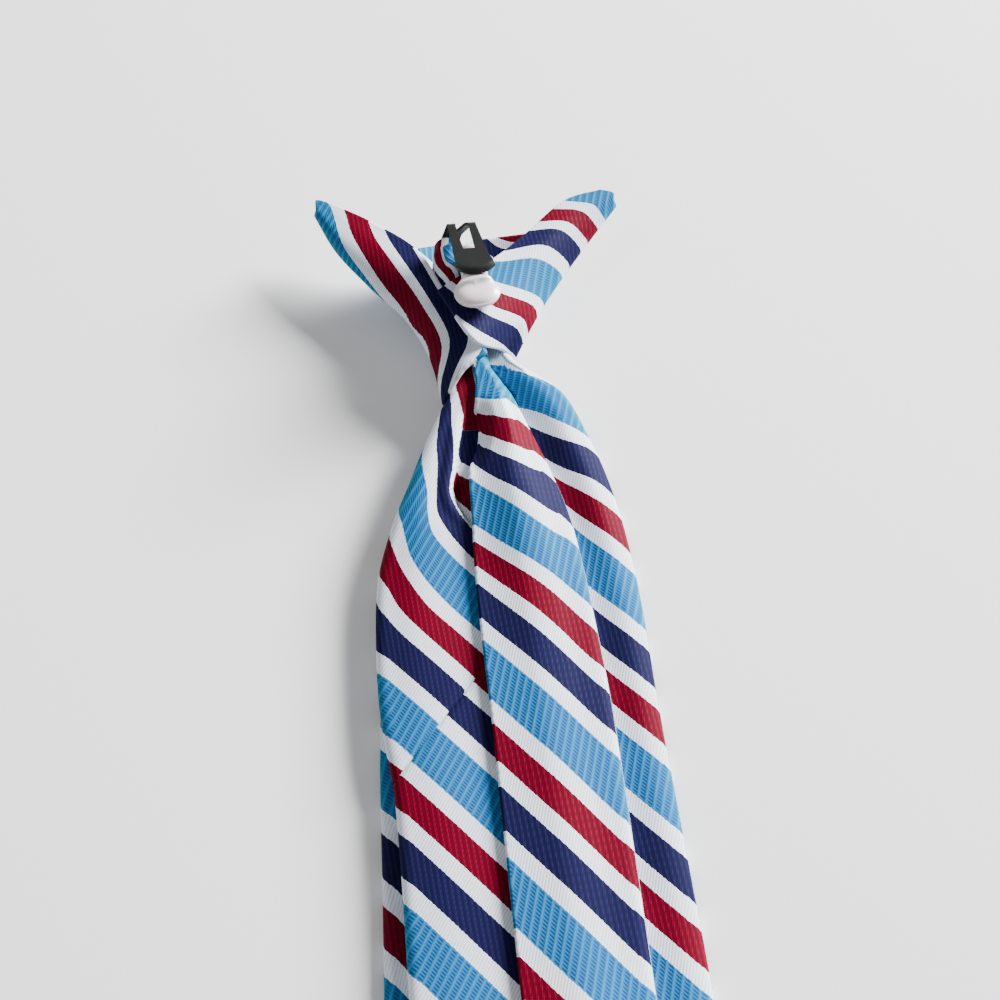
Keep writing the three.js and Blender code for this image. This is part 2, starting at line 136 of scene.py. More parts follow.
def at_heights(table, y):
    """Each column of a table at the heights y. Between two rows it is a cubic whose slope at each row is
    that of the line from the row before to the row after."""
    up, values = table[::-1, 0], table[::-1, 1:]
    slope = (values[2:] - values[:-2]) / (up[2:] - up[:-2])[:, None]
    first = (values[1] - values[0]) / (up[1] - up[0])
    last = (values[-1] - values[-2]) / (up[-1] - up[-2])
    slope = np.vstack([first, slope, last])
    k = np.clip(np.searchsorted(up, y) - 1, 0, len(up) - 2)
    gap = (up[k + 1] - up[k])[:, None]
    return cubic((y - up[k])[:, None] / gap, values[k], gap * slope[k], values[k + 1], gap * slope[k + 1])


def unit(v):
    """Vectors of length one along v."""
    return v / np.maximum(np.linalg.norm(v, axis=-1, keepdims=True), 1e-12)


def ring_faces(rows, columns):
    """Four-cornered faces between neighbouring rings: so many rings, of so many points each."""
    i, j = np.meshgrid(np.arange(rows - 1), np.arange(columns), indexing="ij")
    k = (j + 1) % columns
    faces = np.stack([i * columns + j, i * columns + k, (i + 1) * columns + k, (i + 1) * columns + j], -1)
    return faces.reshape(-1, 4)


def rounded_wall(middle, stripes, thickness, rim=4):
    """A wall about a grid of points, moved half its thickness along the grid's normals to both sides,
    with half round edges all round. Returns points, four-cornered faces and the stripe coordinates.
    The edge is a half circle: at angle a it stands cos a half thicknesses out from the grid's border
    and sin a half thicknesses up."""
    half = thickness / 2
    angle = np.linspace(0, math.pi / 2, rim + 1)[1:]
    out = half * np.sin(angle)[:, None, None]
    before, after = unit(middle[0] - middle[1]) * out[::-1], unit(middle[-1] - middle[-2]) * out
    grid = np.concatenate([middle[:1] + before, middle, middle[-1:] + after])
    paint = np.concatenate([np.repeat(stripes[:1], rim, 0), stripes, np.repeat(stripes[-1:], rim, 0)])
    thin = np.concatenate([np.cos(angle)[::-1], np.ones(len(middle)), np.cos(angle)])
    thin[0] = thin[-1] = 0.0
    thin = half * thin[:, None, None]
    normal = unit(np.cross(np.gradient(grid, axis=0), np.gradient(grid, axis=1)))
    normal[:rim], normal[-rim:] = normal[rim], normal[-rim - 1]
    lift = normal * thin
    out_a, out_b = unit(grid[:, :1] - grid[:, 1:2]) * thin, unit(grid[:, -1:] - grid[:, -2:-1]) * thin
    turn = np.linspace(math.pi / 2, -math.pi / 2, 2 * rim + 1)[1:-1][None, :, None]
    cap_b = grid[:, -1:] + out_b * np.cos(turn) + lift[:, -1:] * np.sin(turn)
    cap_a = grid[:, :1] + out_a * np.cos(turn) - lift[:, :1] * np.sin(turn)
    ring = np.concatenate([grid + lift, cap_b, (grid - lift)[:, ::-1], cap_a], 1)
    paint_a, paint_b = (np.repeat(edge, cap_a.shape[1], 1) for edge in (paint[:, :1], paint[:, -1:]))
    paint = np.concatenate([paint, paint_b, paint[:, ::-1], paint_a], 1)
    return ring.reshape(-1, 3), ring_faces(*ring.shape[:2]), paint.reshape(-1, 2)


def piece_from(name, points, faces, stripes, material):
    """A mesh object of those points and faces, doubles merged, facing outwards, with the stripe
    coordinates as its UV map."""
    a, b, c, d = (points[faces[:, k]] for k in range(4))
    volume = (a * np.cross(b, c)).sum() + (a * np.cross(c, d)).sum()
    if volume < 0:
        faces = faces[:, ::-1]
    mesh = bpy.data.meshes.new(name)
    mesh.vertices.add(len(points))
    mesh.vertices.foreach_set("co", (points * MM).astype(np.float32).ravel())
    mesh.loops.add(faces.size)
    mesh.loops.foreach_set("vertex_index", faces.astype(np.int32).ravel())
    mesh.polygons.add(len(faces))
    mesh.polygons.foreach_set("loop_start", np.arange(0, faces.size, 4, dtype=np.int32))
    mesh.update(calc_edges=True)
    if stripes is not None:
        layer = mesh.uv_layers.new(name="stripes")
        layer.data.foreach_set("uv", stripes[faces.ravel()].astype(np.float32).ravel())
    made = bmesh.new()
    made.from_mesh(mesh)
    bmesh.ops.remove_doubles(made, verts=made.verts, dist=1e-7)
    made.to_mesh(mesh)
    made.free()
    mesh.polygons.foreach_set("use_smooth", np.ones(len(mesh.polygons), bool))
    mesh.materials.append(material)
    piece = bpy.data.objects.new(name, mesh)
    bpy.context.scene.collection.objects.link(piece)
    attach(piece, "root")
    return piece


# The two blades

# One row for each height: y, left and right fold, underside, rise of the flaps over the face at the
# left and the right fold, and for the tail the free edge of the right flap and how far the left flap
# reaches under it
FRONT_BLADE = np.array([
    (137.0, -5.2, 4.4, 2.0, 2.2, 4.0),
    (133.5, -5.2, 6.2, 2.0, 2.2, 4.6),
    (131.0, -5.2, 7.0, 2.0, 2.2, 5.0),
    (128.6, -5.2, 8.2, 1.9, 2.2, 5.2),
    (124.6, -5.2, 12.6, 1.8, 2.2, 5.0),
    (121.0, -5.2, 17.2, 1.7, 2.1, 4.3),
    (117.0, -6.4, 19.8, 1.2, 2.2, 3.8),
    (110.0, -12.0, 22.4, 0.5, 2.1, 3.0),
    (100.0, -17.0, 25.3, 0.1, 2.0, 2.4),
    (86.0, -22.6, 27.6, 0.0, 1.9, 2.0),
    (69.0, -26.8, 28.7, 0.0, 1.7, 1.7),
    (41.0, -29.7, 28.8, 0.0, 1.7, 1.7),
    (9.0, -31.0, 29.5, 0.0, 1.7, 1.7),
    (-60.0, -34.0, 31.0, 0.0, 1.7, 1.7),
    (-143.0, -37.4, 32.6, 0.0, 1.7, 1.7),
])
TAIL_BLADE = np.array([
    (137.0, -7.0, 1.4, 6.2, 1.9, 1.9, -2.6, 1.2),
    (127.0, -7.0, 1.6, 6.4, 1.9, 2.0, -2.2, 1.4),
    (122.0, -8.2, 3.9, 6.4, 2.0, 2.2, -1.8, 3.4),
    (118.6, -9.4, 5.8, 6.3, 2.1, 2.3, -2.2, 4.4),
    (116.0, -11.2, 6.8, 6.1, 2.1, 2.4, -2.4, 5.0),
    (110.0, -14.2, 8.8, 5.6, 2.4, 2.3, -2.3, 6.0),
    (105.5, -16.4, 10.4, 5.1, 2.8, 2.3, -3.1, 6.8),
    (100.0, -18.8, 12.2, 4.6, 3.2, 2.2, -5.2, 7.6),
    (88.0, -24.2, 15.3, 4.0, 2.8, 2.0, -5.8, 8.6),
    (76.0, -27.9, 16.8, 3.5, 2.0, 1.8, -6.3, 9.0),
    (60.0, -29.2, 17.9, 3.3, 1.7, 1.7, -6.3, 9.0),
    (45.0, -29.1, 18.6, 3.2, 1.7, 1.7, -6.0, 9.0),
    (28.0, -27.2, 18.8, 3.2, 1.7, 1.7, -5.9, 9.0),
    (-14.0, -26.9, 18.8, 3.2, 1.7, 1.7, -5.7, 9.0),
    (-127.0, -26.9, 18.8, 3.2, 1.7, 1.7, -4.6, 9.0),
])
# The rolled lip of the tail's left flap beside the knot: y, its x, and the depth of the hollow behind it
LIP = np.array([
    (124.0, -4.2, 0.0),
    (116.0, -5.6, 0.5),
    (111.0, -7.1, 2.0),
    (107.0, -8.1, 2.4),
    (101.7, -9.2, 2.6),
    (97.5, -10.3, 2.6),
    (95.2, -10.6, 2.5),
    (92.0, -10.2, 2.1),
    (88.7, -8.5, 1.3),
    (85.5, -6.6, 0.3),
    (78.0, -6.4, 0.0),
])
# The stripes' phases in the hollow behind the lip, by the height there, which is counted along slanting
# lines; above HOLLOW_TOP there is one phase
HOLLOW_PHASES = np.array([
    (92.0, 0.45), (97.6, 0.55), (98.6, 0.60), (101.4, 0.66), (101.9, 0.70), (103.5, 0.79),
])
HOLLOW_TOP, HOLLOW_TOP_PHASE = 111.0, 0.48
HOLLOW_SLANT, HOLLOW_MIDDLE, HOLLOW_LOW, HOLLOW_HIGH = 0.6, -5.0, 91.0, 115.0
# The stripes' borders on that flap near the knot: y, then x of each border, in the order of BORDER_PHASES.
# Below BORDERS_END the stripes are straight.
BORDERS_END = 60.0
BORDER_PHASES = np.array([0.29, 0.405, 0.575, 0.69, 0.885, 1.0, 1.29, 1.405, 1.575, 1.69, 1.885])
NECK_BORDERS = np.array([
    (126.0, -0.6, -2.8, -6.2, -7.6, -9.2, -11.0, -13.8, -15.8, -18.4, -20.4, -23.4),
    (120.5, -0.6, -2.4, -6.7, -7.9, -9.6, -11.6, -15.0, -17.0, -20.0, -22.0, -25.0),
    (114.0, -1.6, -3.6, -6.1, -8.6, -10.8, -13.0, -17.0, -19.0, -22.0, -24.0, -27.0),
    (107.0, -2.8, -4.6, -7.2, -8.8, -12.5, -15.2, -20.0, -22.5, -26.0, -28.0, -31.0),
    (101.5, -3.4, -5.6, -8.4, -9.5, -12.8, -16.0, -21.5, -24.4, -28.0, -30.0, -34.0),
    (95.0, -3.6, -5.6, -9.4, -10.85, -13.5, -15.6, -22.0, -25.0, -29.0, -31.0, -35.0),
    (90.0, -2.0, -4.0, -6.0, -9.5, -13.8, -15.9, -21.7, -24.8, -29.0, -31.4, -35.6),
    (85.0, 1.0, -1.6, -4.6, -6.2, -11.5, -15.2, -21.1, -24.2, -28.6, -31.2, -35.6),
    (80.2, 5.5, 2.5, -1.5, -3.4, -8.0, -12.0, -20.2, -23.3, -28.0, -30.8, -35.4),
    (74.6, 14.0, 10.5, 5.6, 2.6, -3.0, -7.1, -17.5, -21.0, -26.0, -29.0, -34.4),
    (68.0, 24.5, 20.5, 14.4, 10.4, 3.2, -1.1, -12.6, -17.1, -22.9, -26.8, -33.4),
    (60.0, 34.0, 29.5, 22.9, 18.4, 10.7, 6.2, -5.2, -9.7, -16.4, -20.8, -28.0),
])
# How far the domes stand up: y, front blade's right flap, tail's left flap, tail's right flap
DOMES = np.array([
    (137.0, 0.0, 0.0, 0.0),
    (126.0, 0.3, 0.0, 0.2),
    (116.0, 1.2, 0.2, 0.4),
    (104.0, 1.4, 0.6, 1.9),
    (88.0, 1.2, 0.9, 2.6),
    (70.0, 0.9, 0.8, 1.7),
    (50.0, 0.7, 0.6, 1.1),
    (10.0, 0.5, 0.4, 0.8),
    (-143.0, 0.3, 0.3, 0.5),
])
# The seam across the tail's left flap: a point on it, its angle, and its groove's depth and its widths
# above and below
SEAM = (-18.3, 41.2, math.radians(48))
SEAM_DEPTH, SEAM_ABOVE, SEAM_BELOW = 0.65, 1.1, 0.3
# Where the tail's right flap is tucked down into the hollow
TUCK = {"deep": 2.0, "top": 118.0, "low": 97.0, "fade": 6.0, "wide": 3.8}
# The ridge along the lip, its height by the hollow's depth, and how wide the drop behind it is
RIDGE = {"high": 0.28, "in": 0.9, "wide": 1.3, "drop": 0.9}
# Where each dome is highest, as a share of the way over its flap
DOME_TOPS = {"front": 0.6, "tail_left": 0.4, "tail_right": 0.64}
# The slow turn of the stripes down a flap: how much in repeats, the middle height and the half length
TAIL_TURN = (0.035, 24, 35)
FRONT_TURN = (0.04, 8, 16)
# How far the stripes lag on the left and the right flap, in repeats
TAIL_PHASES = (0.447, 0.808)
FRONT_PHASES = (0.15, 0.889)
# How far the stripes of the right flaps lag behind the straight ones: y, then the lag at even shares of
# the way across, for the tail from its free edge and for the front blade from the tail's fold
TAIL_BEND = np.array([
    (126.0, -0.37, -0.32, -0.26, -0.19),
    (118.0, -0.28, -0.245, -0.20, -0.13),
    (110.0, -0.172, -0.181, -0.160, -0.075),
    (102.0, -0.105, -0.145, -0.120, -0.023),
    (94.0, -0.120, -0.100, -0.075, 0.019),
    (84.0, -0.083, -0.074, -0.062, 0.015),
    (72.0, -0.017, -0.018, -0.002, 0.029),
    (56.0, 0.0, 0.0, 0.0, 0.0),
])
FRONT_BEND = np.array([
    (126.0, -0.371, -0.329, -0.272),
    (118.0, -0.232, -0.157, -0.139),
    (110.0, -0.138, -0.107, -0.051),
    (102.0, -0.066, -0.058, 0.021),
    (94.0, -0.007, -0.013, 0.017),
    (84.0, 0.010, 0.003, 0.015),
    (72.0, 0.0, 0.0, 0.0),
])
POINT_REACH = 60.0       # how far above its shoulders a blade starts to draw in to its point
TURN = CLOTH / 2 + ROLL  # a folded edge's width
ROLL_SHARE = 0.16        # the most of a blade's width that a fold's roll takes
EDGE_ROOM = 1.0          # how far the left flap's hidden edge stays from the right fold's roll
ROW_PAIR = 0.03          # half the step between the two rows at the end of the hollow's stripe


def blade_heights(top, shoulder):
    """Close rows at the knot and at the seam, two next to each other where the hollow's stripe ends, and
    wider ones below."""
    rows = [
        np.arange(top, 60, -0.8), np.arange(60, 24, -0.5), np.arange(24, -20, -1.6),
        np.linspace(-20, shoulder, 34), [HOLLOW_TOP + ROW_PAIR, HOLLOW_TOP - ROW_PAIR],
    ]
    return np.sort(np.concatenate(rows))[::-1]


def folded_blade(table, tip_y, left_flap, right_flap, counts):
    """A blade's middle surface, heights by columns. Across it runs the left back flap from its hidden
    edge to the left fold, half an ellipse round that fold, the face, half an ellipse round the right
    fold, and the right back flap to its free edge. Near the tip each point moves down by its distance
    in from the nearer fold, so that the level end becomes a point. Returns the points, the unrolled x,
    which goes on past a fold's edge by the length of the cloth round it, which columns are on the face
    and on the right, and the unrolled x of both folds."""
    y = blade_heights(table[0, 0], table[-1, 0])
    rows = at_heights(table, y)
    left, right, base, rise_l, rise_r = (rows[:, k:k + 1] for k in range(5))
    floor = base + CLOTH / 2
    roll = np.minimum(ROLL, (right - left) * ROLL_SHARE)
    turn_l, turn_r = left + CLOTH / 2 + roll, right - CLOTH / 2 - roll

    def flat(x):
        return floor + rise_l + (rise_r - rise_l) * (x - left) / (right - left)

    if rows.shape[1] > 5:
        seam, start = rows[:, 5:6], np.minimum(rows[:, 5:6] + rows[:, 6:7], turn_r - EDGE_ROOM)
    else:
        seam = (left + right) / 2 + CLOTH / 2
        start = seam - CLOTH
    n_flap, n_turn, n_face = counts
    t, s = np.linspace(0, 1, n_flap)[None], np.linspace(0, 1, n_face)[None]
    angle = np.linspace(0, math.pi, n_turn + 2)[None, 1:-1]
    x_a, x_e = start + (turn_l - start) * t, turn_r + (seam - turn_r) * t
    x_c = turn_l + (turn_r - turn_l) * s
    x_b, z_b = turn_l - roll * np.sin(angle), floor + rise_l / 2 * (1 + np.cos(angle))
    x_d, z_d = turn_r + roll * np.sin(angle), floor + rise_r / 2 * (1 - np.cos(angle))
    heights = y[:, None]
    z_a = flat(x_a) + left_flap(x_a, heights, rows)
    z_b = z_b + left_flap(x_b, heights, rows) * (angle < math.pi / 2)
    z_d = z_d + right_flap(x_d, heights, rows) * (angle > math.pi / 2)
    z_e = flat(x_e) + right_flap(x_e, heights, rows)
    x = np.concatenate([x_a, x_b, x_c, x_d, x_e], 1)
    z = np.concatenate([z_a, z_b, floor + 0 * x_c, z_d, z_e], 1)
    # unrolled x: past a turn's start by the arc's length, back again on its other side
    arc_l, arc_r = (np.pi / 2 * np.sqrt((roll**2 + (r / 2) ** 2) / 2) for r in (rise_l, rise_r))
    there_back = 1 - np.abs(1 - 2 * angle / math.pi)
    u = np.concatenate([x_a, turn_l - arc_l * there_back, x_c, turn_r + arc_r * there_back, x_e], 1)
    first_half = (angle[0] <= math.pi / 2) * 1.0
    flap, turn, face = np.ones(n_flap), np.ones(n_turn), np.ones(n_face)
    on_face = np.concatenate([0 * flap, 1 - first_half, face, first_half, 0 * flap])
    on_right = np.concatenate([0 * flap, 0 * turn, face / 2, turn, flap])
    shoulder = table[-1, 0]
    half, centre = (right - left) / 2, (right + left) / 2
    inwards = np.maximum(0, half - np.abs(x - centre))
    y_grid = heights - inwards * (shoulder - tip_y) / half * ease(1 - (heights - shoulder) / POINT_REACH)
    return np.stack([x, y_grid, z], -1), u, on_face, on_right, turn_l - arc_l, turn_r + arc_r


def stripe_map(blade, phases, threads, sign, bends):
    """The stripe coordinates of a blade. On the flaps the stripes run straight down to the right, and
    a point's phase is its distance across them in repeats, plus what the flap's bend adds. The face is
    the same cloth turned over, so there x changes sign, and the phase is shifted to agree at both
    folds, by an amount that changes evenly from one fold to the other. The second coordinate is the
    distance across the threads in repeats, carried over the folds in the same way, apart from whole
    numbers of thread patterns."""
    points, u, on_face, on_right, fold_l, fold_r = blade
    (phase_l, phase_r), (bend_l, bend_r) = phases, bends
    x, y = u / REPEAT, points[..., 1] / REPEAT
    facing, right = on_face > 0.5, on_right > 0.5
    share = (u - fold_l) / (fold_r - fold_l)
    s, c = math.sin(STRIPE_ANGLE), math.cos(STRIPE_ANGLE)
    k_l, k_r = phase_l + 2 * fold_l / REPEAT * s, phase_r + 2 * fold_r / REPEAT * s
    slip = (k_r - k_l) - np.round(np.median(k_r - k_l))
    level = points[:, :1, 1]
    edge_l, edge_r = bend_l(fold_l, level), bend_r(fold_r, level)
    bend = np.where(right, bend_r(u, points[..., 1]) - phase_r, bend_l(u, points[..., 1]) - phase_l)
    flap = -(x * s + y * c) + bend
    face = (x * s - y * c) - (k_l + slip * share) + edge_l + (edge_r - edge_l) * np.clip(share, 0, 1)
    p_l, p_r = (math.sin(angle) for angle in threads)
    q_l, q_r = (math.cos(angle) for angle in threads)
    m_l, m_r = 2 * fold_l / REPEAT * p_l, 2 * fold_r / REPEAT * p_r
    step = PATTERN / REPEAT
    drift = (m_r - m_l) - step * np.round(np.median((m_r - m_l) / step))
    turn_p, turn_q = p_l + (p_r - p_l) * share, q_l + (q_r - q_l) * share
    along_face = -x * turn_p - y * turn_q + m_l + drift * share
    along_flap = np.where(right, x * p_r - y * q_r, x * p_l - y * q_l)
    return np.stack([sign * np.where(facing, face, flap), np.where(facing, along_face, along_flap)], -1)


def tail_left_bend(x, y):
    """What the stripes of the tail's left flap add to the straight ones: near the knot they turn and
    run along the rolled lip, and each border's x at each height is in NECK_BORDERS. Between two
    borders the phase changes evenly. In the hollow behind the lip it follows HOLLOW_PHASES. Beyond the
    seam the stripes are a little late."""
    borders = rows_at(NECK_BORDERS, y)
    phase = np.full(np.broadcast(x, y).shape, BORDER_PHASES[0])
    for k, step in enumerate(np.diff(BORDER_PHASES)):
        right, left = borders[:, k:k + 1], borders[:, k + 1:k + 2]
        phase = phase + step * np.clip((right - x) / np.maximum(right - left, 0.3), 0, 1)
    edge = rows_at(LIP, y)[:, :1]
    slant = y + HOLLOW_SLANT * (x - HOLLOW_MIDDLE)
    inside = ease((x - edge) / 0.5) * ease((slant - HOLLOW_LOW) / 2) * ease((HOLLOW_HIGH - y) / 2)
    hollow = np.interp(slant, HOLLOW_PHASES[:, 0], HOLLOW_PHASES[:, 1])
    hollow = np.where(y > HOLLOW_TOP, HOLLOW_TOP_PHASE, hollow)
    phase = phase + inside * (hollow - phase)
    repeats = 3
    lag = TAIL_PHASES[0] - repeats
    straight = -(x * math.sin(STRIPE_ANGLE) + y * math.cos(STRIPE_ANGLE)) / REPEAT - lag
    late = 0.03 * (beyond_seam(x, y) > 0) * (x < -4)
    return ease((y - BORDERS_END) / 8) * (phase - straight) - late


def between(columns, share):
    """The polynomial that takes the values of the columns at even shares from 0 to 1."""
    share, places, total = np.clip(share, 0, 1), np.linspace(0, 1, columns.shape[1]), 0
    for k, place in enumerate(places):
        others = np.delete(places, k)
        weight = np.prod([(share - other) / (place - other) for other in others], axis=0)
        total = total + columns[:, k:k + 1] * weight
    return total


def rows_at(table, y):
    """A table's rows at a grid's heights, held at its first and last row beyond them."""
    return at_heights(table, np.clip(y[:, 0], table[-1, 0], table[0, 0]))


def tail_right_bend(x, y):
    """A slight turn down the length, and near the knot the delays in TAIL_BEND."""
    rows = rows_at(TAIL_BLADE, y)
    share = (x - rows[:, 5:6]) / (rows[:, 1:2] - TURN - rows[:, 5:6])
    amount, middle, reach = TAIL_TURN
    return amount * np.tanh((y - middle) / reach) + between(rows_at(TAIL_BEND, y), share)


def front_left_bend(x, y):
    """A slight turn half way down."""
    amount, middle, reach = FRONT_TURN
    return amount * np.tanh((y - middle) / reach)


def front_right_bend(x, y):
    """Near the knot the delays in FRONT_BEND."""
    tail = rows_at(TAIL_BLADE, y)[:, 1:2]
    return between(rows_at(FRONT_BEND, y), (x - tail) / (rows_at(FRONT_BLADE, y)[:, 1:2] - TURN - tail))


def crown(share, top):
    """A low dome over a flap: 0 at share 0 and 1, 1 at the top, an S curve on both sides."""
    return ease(share / top) * ease((1 - share) / (1 - top))


def beyond_seam(x, y):
    """How far a point lies to the lower right of the seam across the tail's left flap."""
    return (x - SEAM[0]) * math.sin(SEAM[2]) - (y - SEAM[1]) * math.cos(SEAM[2])


def tail_left_flap(x, y, rows):
    """Height added to the tail's left flap: a low dome near the knot, a ridge along the lip, beyond it
    a drop into the hollow, and a groove along the seam, slow above it and steep below."""
    lip = rows_at(LIP, y)
    edge, depth, outer = lip[:, :1], np.maximum(lip[:, 1:2], 0), rows[:, :1] + CLOTH / 2
    dome = at_heights(DOMES, y[:, 0])[:, 1:2] * crown((x - outer) / (edge - outer), DOME_TOPS["tail_left"])
    past = beyond_seam(x, y)
    groove = SEAM_DEPTH * np.exp(-np.abs(past) / np.where(past > 0, SEAM_BELOW, SEAM_ABOVE))
    ridge = RIDGE["high"] * depth * bump((x - edge + RIDGE["in"]) / RIDGE["wide"])
    return dome - groove * ease((rows[:, 5:6] - x) / 2.0) + ridge - depth * ease((x - edge) / RIDGE["drop"])


def tail_right_flap(x, y, rows):
    """Height added to the tail's right flap: one layer up where it lies on the left flap, then a slow
    slope down over most of the way to its fold, a dome that is highest beside the knot, and its free
    edge turned down into the hollow."""
    free = rows[:, 5:6]
    under = free + rows[:, 6:7]
    slope = np.clip(0.8 * (rows[:, 1:2] - under - 2.5), 2.4, 10.0)
    share = (x - free) / (rows[:, 1:2] - CLOTH / 2 - free)
    near_knot = ease((TUCK["top"] - y) / TUCK["fade"]) * ease((y - TUCK["low"]) / TUCK["fade"])
    tuck = TUCK["deep"] * near_knot * ease((free + TUCK["wide"] - x) / TUCK["wide"])
    dome = at_heights(DOMES, y[:, 0])[:, 2:3] * crown(share, DOME_TOPS["tail_right"])
    return LAYER * ease((under + slope - x) / slope) - tuck + dome


def front_flap(x, y, rows):
    """Height added to the front blade's flaps: a dome where they stick out beside the tail."""
    inner = rows_at(TAIL_BLADE, y)[:, 1:2] + 0.6
    share = (x - inner) / (rows[:, 1:2] - CLOTH / 2 - inner)
    return at_heights(DOMES, y[:, 0])[:, :1] * crown(np.clip(share, 0, 1), DOME_TOPS["front"])


# The knot's cloth

# The knot's cloth in six rows, from the neck to the ears' points: the left flap's free edge and outer
# fold, the front panel's middle, and the right flap's outer fold and free edge
KNOT_ROWS = np.array([
    [(0.4, 127.6, 13.4), (-9.9, 119.4, 6.2), (-1.5, 121.5, 0.6), (7.0, 130.2, 5.8), (-8.6, 143.7, 16.6)],
    [(-3.0, 134.5, 13.6), (-11.7, 130.0, 8.3), (-1.0, 132.0, 0.6), (11.2, 136.5, 8.0), (-3.2, 147.4, 16.5)],
    [(-7.6, 145.0, 13.6), (-16.4, 142.0, 8.2), (-0.5, 143.0, 0.6), (16.6, 145.2, 8.0), (4.4, 151.9, 15.6)],
    [(-13.4, 158.8, 13.2), (-25.2, 153.4, 8.8), (0.0, 154.0, 0.7), (24.2, 155.4, 8.6), (13.4, 160.0, 14.2)],
    [(-23.6, 168.6, 13.0), (-32.7, 164.1, 9.9), (0.0, 162.6, 1.2), (31.3, 163.8, 9.9), (25.0, 170.2, 14.0)],
    [(-34.4, 176.4, 13.1), (-37.1, 173.8, 11.6), (0.0, 167.8, 2.7), (36.6, 169.3, 11.8), (33.6, 172.9, 13.7)],
])
# In the same rows, how far the left and the right flap's middle stands off the line across it
KNOT_BOWS = np.array([
    [(0, 0.9, 2.6), (-0.8, -7.3, 4.6)],
    [(0, 0, 1.6), (0, -4.0, 3.0)],
    [(0, 0, 2.0), (0, -1.0, 3.0)],
    [(0, 0, 2.0), (0, 0, 2.8)],
    [(0, 0, 1.3), (0, 0, 1.6)],
    [(-0.9, 2.0, 0.6), (1.3, 0.8, 0.5)],
])
# In the same rows, the front panel's height half way out, and how far it dips towards the neck there,
# and nearer its middle on the left and on the right
KNOT_PANEL = np.array([
    (1.0, 0, 0, 0), (1.0, 0, 0, 0), (1.2, 0, 0, 0),
    (2.4, 0, 0, 0), (4.6, 2.4, 1.2, 0.6), (7.4, 5.0, 4.0, 2.0),
])
LAST_ROW = 5
# The numbers of the rails at the folds, the middle and the right flap's free edge
RAIL_L, RAIL_MIDDLE, RAIL_R, LAST_RAIL = 3, 7, 11, 14
# The rails beside a fold: their share of the way in from it, how far they lie under it on the panel and
# over it on the flap, and the most of the flap's rise that this takes
FOLD_IN, FOLD_UNDER, FOLD_OVER, FOLD_OVER_SHARE = 0.1, 1.76, 2.2, 0.6
# The panel's outer and inner rails: their share of the way out, and the inner ones' share of the rise
PANEL_OUTER, PANEL_INNER, PANEL_INNER_RISE = 0.62, 0.25, 0.4
KNOT_WALL = 1.2
# The turned in edge: its sides, its line's place and height, the roll's share of it and height, its depth
TURNED = {"left": -12.5, "right": 17.5, "y": 167.5, "z": 2.0, "roll": 0.35, "high": 0.9, "deep": 11.0}
TURNED_WALL = 1.0
# The stripes' phase on the turned in edge: x, phase
TURNED_PHASES = np.array([
    (-12.5, 1.24), (-9.2, 1.12), (-4.0, 1.02), (-0.1, 1.06), (2.0, 0.97),
    (3.3, 0.90), (7.0, 0.68), (10.5, 0.56), (14.0, 0.48), (17.5, 0.42),
])
# The tucked loop: share of its length, then y, left side, right side and top there
LOOP = np.array([
    (0.0, 144.6, -6.0, -4.2, 12.8),
    (0.2, 147.0, -7.2, -3.9, 14.6),
    (0.4, 149.4, -8.3, -3.4, 16.0),
    (0.6, 151.8, -8.9, -3.4, 17.0),
    (0.8, 154.2, -9.1, -3.4, 17.8),
    (1.0, 156.6, -8.6, -3.4, 18.2),
])
LOOP_FOOT = 8.6   # the height of its feet
LOOP_LEAN = 0.12  # how far it leans away from the lug for each millimetre up
LOOP_SIDE = 0.2   # the share of the way over it that each straight side takes
LOOP_WALL = 0.8
# The stripes' phase on the knot's flaps, a line for each row of the knot from the ears' points down to
# the neck: its number, then the phase at each rail of the flap from left to right, which is from the
# left flap's free edge to its fold, and from the right flap's fold to its free edge
PHASES_L = np.array([
    (5, 0.287, 0.165, 0.10, 0.0),
    (4, 0.599, 0.425, 0.257, 0.09),
    (3, 0.90, 0.577, 0.371, 0.219),
    (2, 0.94, 0.63, 0.445, 0.382),
    (1, 0.906, 0.686, 0.469, 0.40),
    (0, 1.02, 0.965, 0.87, 0.69),
])
PHASES_R = np.array([
    (5, 0.124, 0.145, 0.114, 0.039),
    (4, 0.415, 0.401, 0.392, 0.27),
    (3, 0.828, 0.843, 0.837, 0.74),
    (2, 1.234, 1.234, 1.157, 0.99),
    (1, 1.552, 1.611, 1.594, 1.42),
    (0, 1.928, 1.906, 1.976, 1.78),
])


def smooth_line(points, t):
    """A smooth line through points, the first axis counting them, at the places t counted in points.
    Each span is a cubic whose end slopes come from the points beside it, weighed by the square roots
    of the distances between them, so that close points make no loop."""
    first, last = 2 * points[:1] - points[1:2], 2 * points[-1:] - points[-2:-1]
    p = np.concatenate([first, points, last])
    k = np.clip(np.floor(t).astype(int), 0, len(points) - 2)
    w = t - k
    a, b, c, d = p[k], p[k + 1], p[k + 2], p[k + 3]

    def root(u, v):
        return np.sqrt(np.maximum(np.linalg.norm(v - u, axis=-1, keepdims=True), 1e-4))

    ab, bc, cd = root(a, b), root(b, c), root(c, d)
    leave = ((b - a) / ab - (c - a) / (ab + bc) + (c - b) / bc) * bc
    arrive = ((c - b) / bc - (d - b) / (bc + cd) + (d - c) / cd) * bc
    return cubic(w.reshape((-1,) + (1,) * (points.ndim - 1)), b, leave, c, arrive)


def lengths(grid, axis):
    """How far each point of a grid lies along its line from the line's first point."""
    steps = np.linalg.norm(np.diff(grid, axis=axis), axis=-1)
    first = np.zeros_like(steps.take([0], axis))
    return np.concatenate([first, np.cumsum(steps, axis)], axis)


